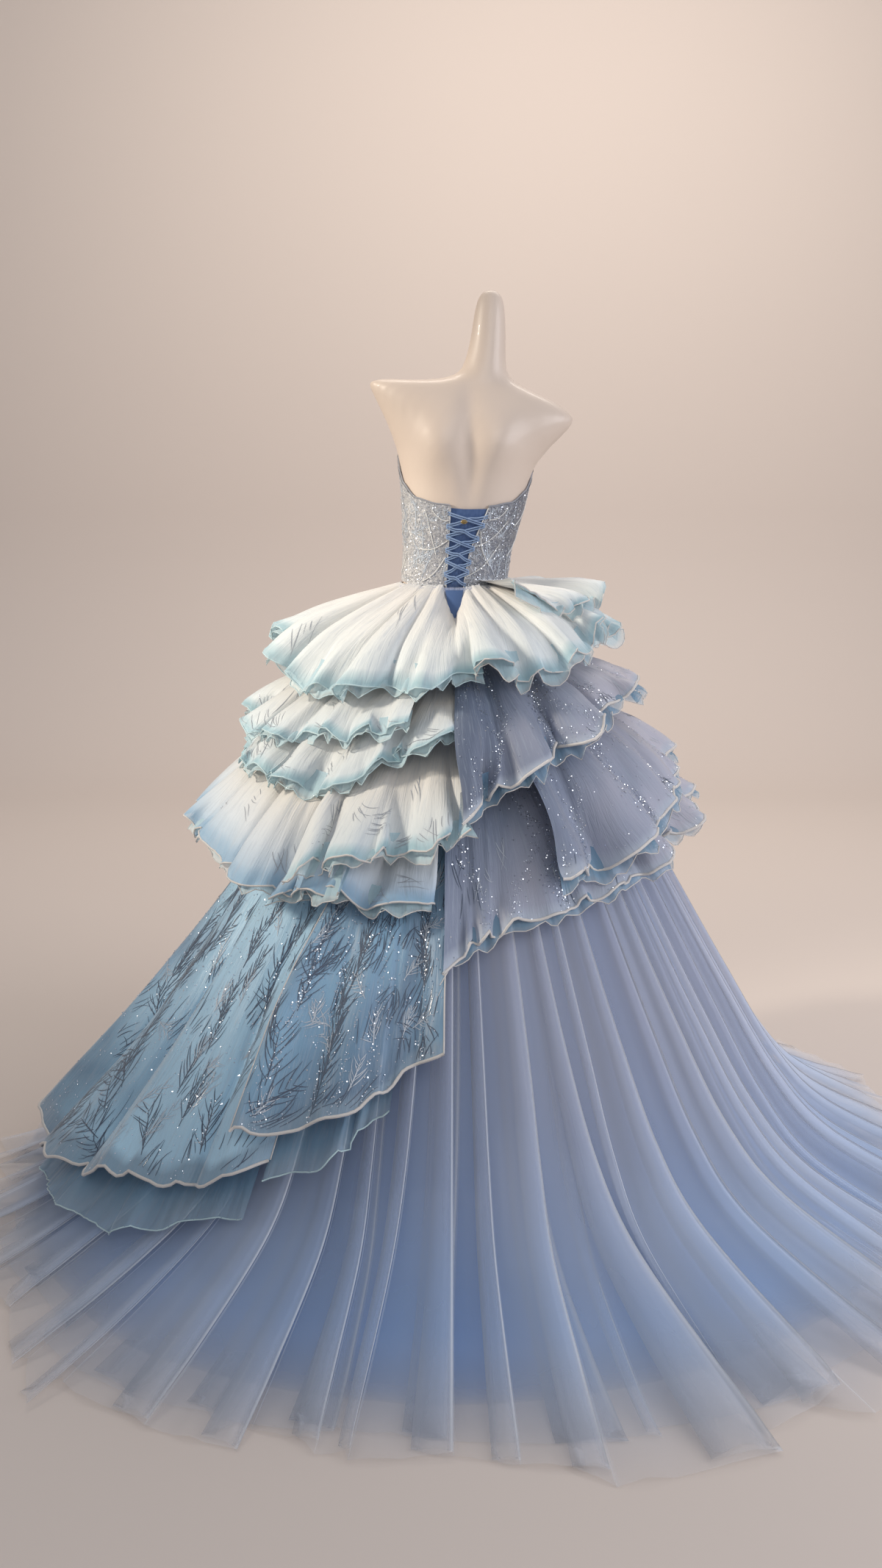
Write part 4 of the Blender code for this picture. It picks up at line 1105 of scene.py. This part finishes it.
def branch_sprigs(surface, branches, seed):
    """Sprigs end to end along lines from u, v to u, v, growing upwards."""
    made = np.random.default_rng(seed)
    spots = []
    for u0, v0, u1, v1 in branches:
        across, down = (u1 - u0) * surface.width, (v1 - v0) * surface.drop
        length = math.hypot(across, down)
        heading = math.degrees(math.atan2(-across, -down))
        for k in range(int(length / SPRIG_SPACING)):
            share = 1 - (k + made.uniform(-0.2, 0.2)) * SPRIG_SPACING / length
            u = u0 + (u1 - u0) * share + made.normal(0, 0.010)
            v = v0 + (v1 - v0) * share
            spots.append((u, v, heading + made.normal(0, 12), SPRIG_LENGTH, made.normal(0, 0.3)))
    return spots


def add_embroidery(tiers):
    """Needle-like sprigs and glitter on the blue panels, glitter in streaks on the grey tiers, and grey
    strokes on the white ones, which are painted shade in their creases."""
    made = np.random.default_rng(5)

    def trim(cad, kind, shapes, look):
        piece = add_joined(f"{cad}_{kind}", shapes, LOOKS[look], slot=SLOTS[cad], smooth_shade=False)
        tiers[cad]["parts"].append(piece)

    panels = (("train_panel", TRAIN_BRANCHES, 60), ("cascade_panel", CASCADE_BRANCHES, 20))
    for cad, branches, count in panels:
        surface = tiers[cad]["surface"]
        spots = branch_sprigs(surface, branches, 14)
        dark = [feathers(surface, spots, 6, 7, 0.056, 0.0018)]
        dark.append(brushes(surface, 8, 2 * count, 6, (0, 1, 0.1, 1), 160, 0.060, 0.0016))
        spots = scattered_sprigs(len(cad) + 1, count, (0.02, 0.98, 0.15, 1.0), 170, 50, 0.050)
        silver = [feathers(surface, spots, 7, 6, 0.036, 0.0015)]
        trim(cad, "stitches", dark, "embroidery")
        trim(cad, "silver", silver, "silver_thread")
        u, v = made.uniform(0, 1, count * 25), made.beta(2.2, 1.6, count * 25)
        more = streaks(9, count // 3, 130, 0.012, 0.12)
        u, v = np.concatenate([u, more[0]]), np.concatenate([v, more[1]])
        trim(cad, "glitter", [sequins(surface, u, v, SEQUIN_RADIUS, 10)], "glitter")
    for cad, lines in (("tier4_right", 16), ("tier3_right", 14), ("tier2_right", 14)):
        surface = tiers[cad]["surface"]
        u, v = streaks(len(cad) + lines, lines, 150, 0.005, 0.10)
        some = made.uniform(0, 1, (2, 420))
        u, v = np.concatenate([u, some[0]]), np.concatenate([v, some[1]])
        trim(cad, "glitter", [sequins(surface, u, v, SEQUIN_RADIUS, 11)], "glitter")
        dark = [brushes(surface, 12 + lines, 12, 4, (0, 1, 0.3, 0.9), 15, 0.045, 0.0015)]
        silver = [brushes(surface, 13 + lines, 22, 4, (0, 1, 0.2, 1.0), 10, 0.045, 0.0014)]
        trim(cad, "stitches", dark, "embroidery")
        trim(cad, "silver", silver, "silver_thread")
    # Grey strokes on the white tiers: painted crease shade.
    whites = ("tier2_left", "tier2_left_frill", "tier3_left", "tier3_left_frill", "tier4_left", "peplum_left")
    for place, cad in enumerate(whites):
        surface = tiers[cad]["surface"]
        groups = max(4, int(surface.width * (6 if cad == "peplum_left" else 17)))
        marks = [brushes(surface, 40 + place, groups, 5, (0, 1, 0.40, 0.92), 60, 0.060, 0.0015)]
        trim(cad, "stitches", marks, "crease_shade_strokes")


# The bodice

# Height, centre x and y, half width, half depth and slope across of the form, as its solid has them
FORM_SECTIONS = (
    (1.060, 0.000, 0.000, 0.138, 0.107, 0.00),
    (1.130, 0.000, 0.000, 0.112, 0.091, 0.00),
    (1.190, 0.001, 0.000, 0.101, 0.083, 0.00),
    (1.250, 0.007, 0.003, 0.1035, 0.086, -0.01),
    (1.320, 0.016, 0.008, 0.115, 0.094, -0.04),
    (1.350, 0.019, 0.009, 0.119, 0.096, -0.055),
    (1.380, 0.0215, 0.010, 0.1235, 0.098, -0.07),
    (1.405, 0.0225, 0.010, 0.130, 0.098, -0.095),
    (1.430, 0.024, 0.009, 0.138, 0.097, -0.12),
    (1.452, 0.026, 0.0065, 0.150, 0.094, -0.14),
    (1.475, 0.028, 0.004, 0.163, 0.090, -0.16),
)
NECKLINE_ANGLES = (0, 25, 50, 75, 95, 120, 140, 160, 180)
NECKLINE_HEIGHTS = (1.334, 1.336, 1.345, 1.370, 1.398, 1.435, 1.452, 1.445, 1.415)
WAIST_SEAM_ANGLES = (0, 40, 90, 180)
WAIST_SEAM_HEIGHTS = (1.178, 1.181, 1.190, 1.186)
OPENING_HEIGHTS = (1.175, 1.250, 1.334)
OPENING_LEFT = (-9.0, -10.0, -12.0)
OPENING_RIGHT = (9.5, 13.0, 24.0)
PANELS = (
    ("back_left", -62, None),
    ("side_left", -108, -62),
    ("front_left", -160, -108),
    ("front_centre", 160, 200),
    ("front_right", 108, 160),
    ("side_right", 62, 108),
    ("back_right", None, 62),
)
BUST_DEPTH = 0.030
BUST_HEIGHT = 1.395
BUST_ANGLE = 143
BUST_ANGLE_SPREAD = 27
CORSET_OFFSET = 0.0052
MODESTY_OFFSET = 0.0022
LACE_OFFSET = 0.0090
LACE_RUNGS = 6
STRAND_GAP = 0.0042


def turned(angle):
    return (np.asarray(angle, float) + 180) % 360 - 180


def eased(at, places, values):
    """Values between places, with an S-shaped step from each to the next."""
    at = np.clip(at, places[0], places[-1])
    left = np.clip(np.searchsorted(places, at, side="right") - 1, 0, len(places) - 2)
    places, values = np.asarray(places, float), np.asarray(values, float)
    share = (at - places[left]) / (places[left + 1] - places[left])
    share = 0.35 * share + 0.65 * share * share * (3 - 2 * share)
    return values[left] * (1 - share) + values[left + 1] * share


def neckline(angle):
    return eased(np.abs(turned(angle)), NECKLINE_ANGLES, NECKLINE_HEIGHTS)


def body(angle, height, out=0.0):
    """Points this far out from the form, at angles and heights."""
    angle, height = np.broadcast_arrays(np.asarray(angle, float), np.asarray(height, float))
    table = np.array(FORM_SECTIONS)
    columns = (np.interp(height, table[:, 0], table[:, k]) for k in range(1, 6))
    centre_x, centre_y, across, depth, slope = columns
    turn = np.radians(angle)
    away = unit(np.stack([np.sin(turn) / across, -np.cos(turn) / depth], -1))
    from_cup = (np.abs(turned(angle)) - BUST_ANGLE) / BUST_ANGLE_SPREAD
    bust = BUST_DEPTH * np.exp(-(from_cup**2) - ((height - BUST_HEIGHT) / 0.055) ** 2)
    shift = (bust + out)[..., None] * away
    x, y = across * np.sin(turn), -depth * np.cos(turn)
    return np.stack([centre_x + x + shift[..., 0], centre_y + y + shift[..., 1], height + slope * x], -1)


def panel_edge(angle, height, opening):
    """A panel's side edge: one angle all the way down, or the edge of the laced opening."""
    return np.full_like(height, angle) if angle is not None else np.interp(height, OPENING_HEIGHTS, opening)


def panel_grid(first, last, rows, columns):
    """A bodice panel between two angles, with a raised bone down its middle and raised seams at its sides."""
    across, down = np.meshgrid(np.linspace(0, 1, columns), np.linspace(0, 1, rows))
    height = NECK_EDGE_Z + (WAIST_SEAM_Z - NECK_EDGE_Z) * down
    left = panel_edge(first, height, OPENING_RIGHT)
    right = panel_edge(last, height, OPENING_LEFT)
    angle = left + (right - left) * across
    waist = eased(np.abs(turned(angle)), WAIST_SEAM_ANGLES, WAIST_SEAM_HEIGHTS)
    height = neckline(angle) + (waist - 0.001 - neckline(angle)) * down
    wide = np.radians(right - left) * 0.11
    seam = np.minimum(across, 1 - across) * wide
    bone = np.abs(across - 0.5) * wide
    ridge = 0.0010 * np.exp(-((seam / 0.0035) ** 2)) + 0.0007 * np.exp(-((bone / 0.003) ** 2))
    relief = 0.0004 * np.sin(angle * 1.9 + 60 * height) * np.sin(angle * 0.8 - 110 * height)
    grid = body(angle, height, CORSET_OFFSET + ridge + relief)
    for _ in range(3):
        grid[1:-1] = (grid[:-2] + 2 * grid[1:-1] + grid[2:]) / 4
    return grid


def lace_path(side, over_first):
    """A lace's path down the opening, over the other lace at every second crossing, and its eyelets."""
    top, bottom = OPENING_HEIGHTS[2] - 0.010, OPENING_HEIGHTS[0] + 0.012
    tables = {-1: OPENING_LEFT, 1: OPENING_RIGHT}
    points, eyelets = [], []
    for rung in range(LACE_RUNGS):
        now = side if rung % 2 == 0 else -side
        ends = [top + (bottom - top) * (rung + k) / LACE_RUNGS for k in (0.06, 0.94)]
        angles = [np.interp(h, OPENING_HEIGHTS, tables[s]) + s * 1.5 for h, s in zip(ends, (now, -now))]
        lift = 0.0042 if (rung % 2 == 0) == over_first else 0.0
        for share, raised in ((0, 0.0), (0.25, 0.5 * lift), (0.5, lift), (0.75, 0.5 * lift), (1, 0.0)):
            angle = angles[0] + (angles[1] - angles[0]) * share
            height = ends[0] + (ends[1] - ends[0]) * share
            stagger = 0.0 if side < 0 or share == 0.5 else 0.0036
            points.append(body(angle, height - stagger, LACE_OFFSET + raised))
        eyelets.append(body(angles[0], ends[0], CORSET_OFFSET + 0.0012))
    points = np.array(points)
    return spline(points, np.linspace(0, len(points) - 1, 5 * len(points))), eyelets


def ring(centre, radius, thickness):
    turn = np.linspace(0, 2 * math.pi, 15)[:-1]
    circle = np.stack([np.cos(turn), 0 * turn, np.sin(turn)], -1) * radius + centre
    path = np.concatenate([circle, circle[:1]])
    return tube_points(path, thickness, 5)


def add_bodice():
    """Lace panels with vine-like cords and spangles, laced over a blue modesty panel at the centre back."""
    surfaces, pieces = {}, {}
    for name, first, last in PANELS:
        grid = panel_grid(first, last, 56, 34)
        share = np.meshgrid(np.linspace(0, 1, 34), np.linspace(0, 1, 56))
        cad = f"bodice_{name}"
        pieces[name] = add_cloth(
            f"{cad}_lace", grid, LOOKS["lace"], share, along(grid), replaces=(cad,), slot="corset_lace"
        )
        surfaces[name] = Surface(grid)
        declare_later(grid)
    vines, spangles = [], []
    for place, (name, surface) in enumerate(surfaces.items()):
        leaning = 140 if "left" in name else 220
        spots = scattered_sprigs(70 + place, 11, (0.08, 0.92, 0.12, 0.98), leaning, 28, 0.075)
        vines.append(feathers(surface, spots, 80 + place, 8, 0.012, 0.0016))
        spots = scattered_sprigs(90 + place, 13, (0.05, 0.95, 0.05, 0.95), 360 - leaning, 30, 0.045)
        vines.append(feathers(surface, spots, 95 + place, 6, 0.009, 0.0013))
        made = np.random.default_rng(100 + place)
        u, v = made.uniform(0, 1, (2, 520))
        spangles.append(sequins(surface, u, v, 0.0010, 110 + place, 0.0012))
    threads = []
    lines = {
        "back_left": (
            (0.98, 0.42, 0.30, 0.56),
            (0.98, 0.18, 0.62, 0.06),
            (0.96, 0.62, 0.45, 0.95),
            (0.50, 0.10, 0.75, 0.60),
        ),
        "back_right": (
            (0.02, 0.50, 0.72, 0.22),
            (0.02, 0.86, 0.66, 0.52),
            (0.15, 0.16, 0.60, 0.04),
            (0.05, 0.30, 0.5, 0.75),
        ),
        "side_left": ((0.95, 0.30, 0.20, 0.60), (0.9, 0.7, 0.3, 0.95)),
        "side_right": ((0.05, 0.35, 0.8, 0.10), (0.05, 0.7, 0.7, 0.45)),
    }
    for name, cords in lines.items():
        for u0, v0, u1, v1 in cords:
            share = np.linspace(0, 1, 22)
            bow = 0.05 * np.sin(math.pi * share)
            u, v = u0 + (u1 - u0) * share + bow * 0.4, v0 + (v1 - v0) * share + bow
            path, _ = surfaces[name].at(u, v, 0.0008)
            threads.append(tube_points(path, 0.0011, 5))
    add_joined("bodice_vines", vines, LOOKS["silver_thread"], slot="corset_lace", smooth_shade=False)
    add_joined("bodice_cords", threads, LOOKS["white_thread"], slot="corset_lace")
    add_joined("bodice_spangles", spangles, LOOKS["glitter"], slot="corset_lace", smooth_shade=False)

    for side, seam, edge in (("left", -179.7, -12.5), ("right", 179.7, 24.5)):
        angles = np.linspace(edge, seam, 110)
        path = body(angles, neckline(angles) + 0.0024, CORSET_OFFSET)
        path = np.concatenate([path[:1] - (0, 0, 0.004), path])
        inner = body(angles, neckline(angles) + 0.0012, 0.0026)
        cad = f"binding_{side}"
        tubes = [tube_points(path, 0.0018), tube_points(inner, 0.0022)]
        add_joined(
            f"{cad}_piping", tubes, LOOKS["binding"], replaces=(cad,), slot="corset_binding",
        )
        down = np.linspace(0, 1, 40)
        height = NECK_EDGE_Z + (WAIST_SEAM_Z - NECK_EDGE_Z) * down
        table = OPENING_LEFT if side == "left" else OPENING_RIGHT
        path = body(np.interp(height, OPENING_HEIGHTS, table), height, CORSET_OFFSET)
        tubes = [tube_points(path, 0.0012)]
        add_joined(f"opening_{side}_piping", tubes, LOOKS["white_thread"], slot="corset_binding")

    eyelets = []
    for side, name in ((-1, "lace_left"), (1, "lace_right")):
        path, holes = lace_path(side, side < 0)
        eyelets.extend(ring(hole, 0.0026, 0.0007) for hole in holes)
        cord = [tube_points(path, 0.0015, 8), tube_points(path - (0, 0, STRAND_GAP), 0.0013, 8)]
        add_joined(f"{name}_satin", cord, LOOKS["lacing"], replaces=(name,), slot="satin_cord")
    add_joined("lacing_eyelets", eyelets, LOOKS["silver_thread"], slot="corset_binding")

    across, down = np.meshgrid(np.linspace(0, 1, 60), np.linspace(0, 1, 60))
    angle = -17.6 + 47.2 * across
    height = neckline(angle) - 0.004 + (1.180 - neckline(angle)) * down
    braid = np.sin(angle * 0.85)
    plait = 0.0007 * np.abs(braid) * (0.6 + 0.4 * np.sin(500 * height + np.where(braid > 0, 2, 0)))
    grid = body(angle, height, MODESTY_OFFSET + plait)
    piece = add_cloth(
        "modesty_satin", grid, LOOKS["blue"], (across, down), along(grid), replaces=("modesty_panel",),
        slot="corset_blue",
    )
    declare_later(grid)
    corners = np.unique(np.round([v.co for v in NODES["basque_point"].data.vertices], 6), axis=0)
    corners = corners[np.argsort(-corners[:, 2])].reshape(4, 6, 3)
    rows = [row[np.argsort(np.arctan2(row[:, 0], -row[:, 1]))] for row in corners]
    base = np.stack([(row[0::2] + row[1::2]) / 2 for row in rows])
    grid = refine(base, 24, 14)
    across, down = np.meshgrid(np.linspace(0, 1, 14), np.linspace(0, 1, 24))
    grid = grid - (0, 0.0015, 0) * np.sin(math.pi * across)[..., None]
    piece = add_cloth(
        "basque_satin", grid, LOOKS["blue"], (across, down), along(grid), replaces=("basque_point",),
        slot="corset_blue",
    )
    declare_later(grid)
    NODES["lacing_bead"].data.materials.clear()
    NODES["lacing_bead"].data.materials.append(LOOKS["amber"])


def declare_later(grid):
    declare(grid)


# Stage, light and camera


PAPER_BEND = 3.6
PAPER_RADIUS = 1.2


def add_stage():
    """A plain pale floor that curves up into a backdrop behind the object."""
    shader = Shader("studio_paper", Roughness=0.85)
    cloud = shader.noise(shader.place((0.35, 0.35, 0.35)), 1.0, 3.0)
    shader.link("Base Color", shader.mix(cloud, (0.59, 0.52, 0.48), (0.63, 0.56, 0.51)))
    bend = np.linspace(0.2, math.pi / 2, 9)
    profile = [(-6.0, 0.0), (PAPER_BEND, 0.0)]
    profile += [(PAPER_BEND + PAPER_RADIUS * math.sin(a), PAPER_RADIUS * (1 - math.cos(a))) for a in bend]
    profile += [(PAPER_BEND + PAPER_RADIUS, 6.0)]
    points = [(x, y, z) for y, z in profile for x in (-8.0, 8.0)]
    faces = [(2 * k, 2 * k + 1, 2 * k + 3, 2 * k + 2) for k in range(len(profile) - 1)]
    mesh = bpy.data.meshes.new("studio_paper")
    mesh.from_pydata(points, [], faces)
    mesh.materials.append(shader.material)
    mesh.shade_smooth()
    paper = bpy.data.objects.new("studio_paper", mesh)
    bpy.context.scene.collection.objects.link(paper)


def add_light(name, place, target, size, power, colour):
    light = bpy.data.lights.new(name, "AREA")
    light.shape = "RECTANGLE"
    light.size, light.size_y = size
    light.energy = power
    light.color = colour
    lamp = bpy.data.objects.new(name, light)
    bpy.context.scene.collection.objects.link(lamp)
    aim_lamp(lamp, place, target)


def aim_lamp(lamp, place, target):
    x, y, z = np.array(target) - np.array(place)
    lamp.location = place
    lamp.rotation_euler = (math.atan2(math.hypot(x, y), -z), 0, math.atan2(y, x) - math.pi / 2)


def add_lights():
    """A soft wash and fill, a lit backdrop, and a warm beam on the gown from the upper left."""
    add_light("wash", (1.1, -4.5, 3.4), (0.1, 0, 0.8), (3.0, 2.0), 44, (1.0, 0.95, 0.90))
    add_light("fill", (3.8, -1.6, 2.2), (0, 0, 0.7), (2.4, 2.4), 84, (0.92, 0.93, 1.0))
    add_light("back", (0.5, 2.0, 4.2), (0.3, 3.8, 0.9), (3.0, 1.6), 120, (1.0, 0.90, 0.80))
    beam = bpy.data.lights.new("beam", "SPOT")
    beam.energy = 760
    beam.color = (1.0, 0.90, 0.76)
    beam.spot_size = math.radians(27)
    beam.spot_blend = 1.0
    beam.shadow_soft_size = 0.35
    lamp = bpy.data.objects.new("beam", beam)
    bpy.context.scene.collection.objects.link(lamp)
    aim_lamp(lamp, (-3.6, -0.8, 2.8), (-0.15, -0.1, 1.08))
    world = bpy.data.worlds.new("studio_air")
    world.use_nodes = True
    world.node_tree.nodes["Background"].inputs["Color"].default_value = (0.82, 0.84, 0.90, 1)
    world.node_tree.nodes["Background"].inputs["Strength"].default_value = 0.42
    bpy.context.scene.world = world
    bpy.context.scene.view_settings.view_transform = "Standard"


CAMERA_PLACE = (-0.026, -3.2, 1.40)
CAMERA_DOWN = 11.18
CAMERA_LENS = 36.2


def add_camera():
    camera = bpy.data.cameras.new("camera")
    camera.lens = CAMERA_LENS
    camera.sensor_width = 36
    eye = bpy.data.objects.new("camera", camera)
    bpy.context.scene.collection.objects.link(eye)
    eye.location = CAMERA_PLACE
    eye.rotation_euler = (math.radians(90 - CAMERA_DOWN), 0, 0)
    bpy.context.scene.camera = eye


add_camera()
add_stage()
add_lights()
add_form()
dress_stand()
add_underskirt()
add_tulle("tulle_inner_cloth", "tulle_inner", 38, 21, 0.40, 0.006, 54, 0.020, 0.4)
add_tulle("tulle_outer_cloth", "tulle_outer", 54, 22, 0.42, 0.020, 66, 0.034, 0.55)
tiers = {values[0]: add_tier(place, values) for place, values in enumerate(TIERS)}
add_embroidery(tiers)
for tier in tiers.values():
    declare(tier["grid"])
add_bodice()
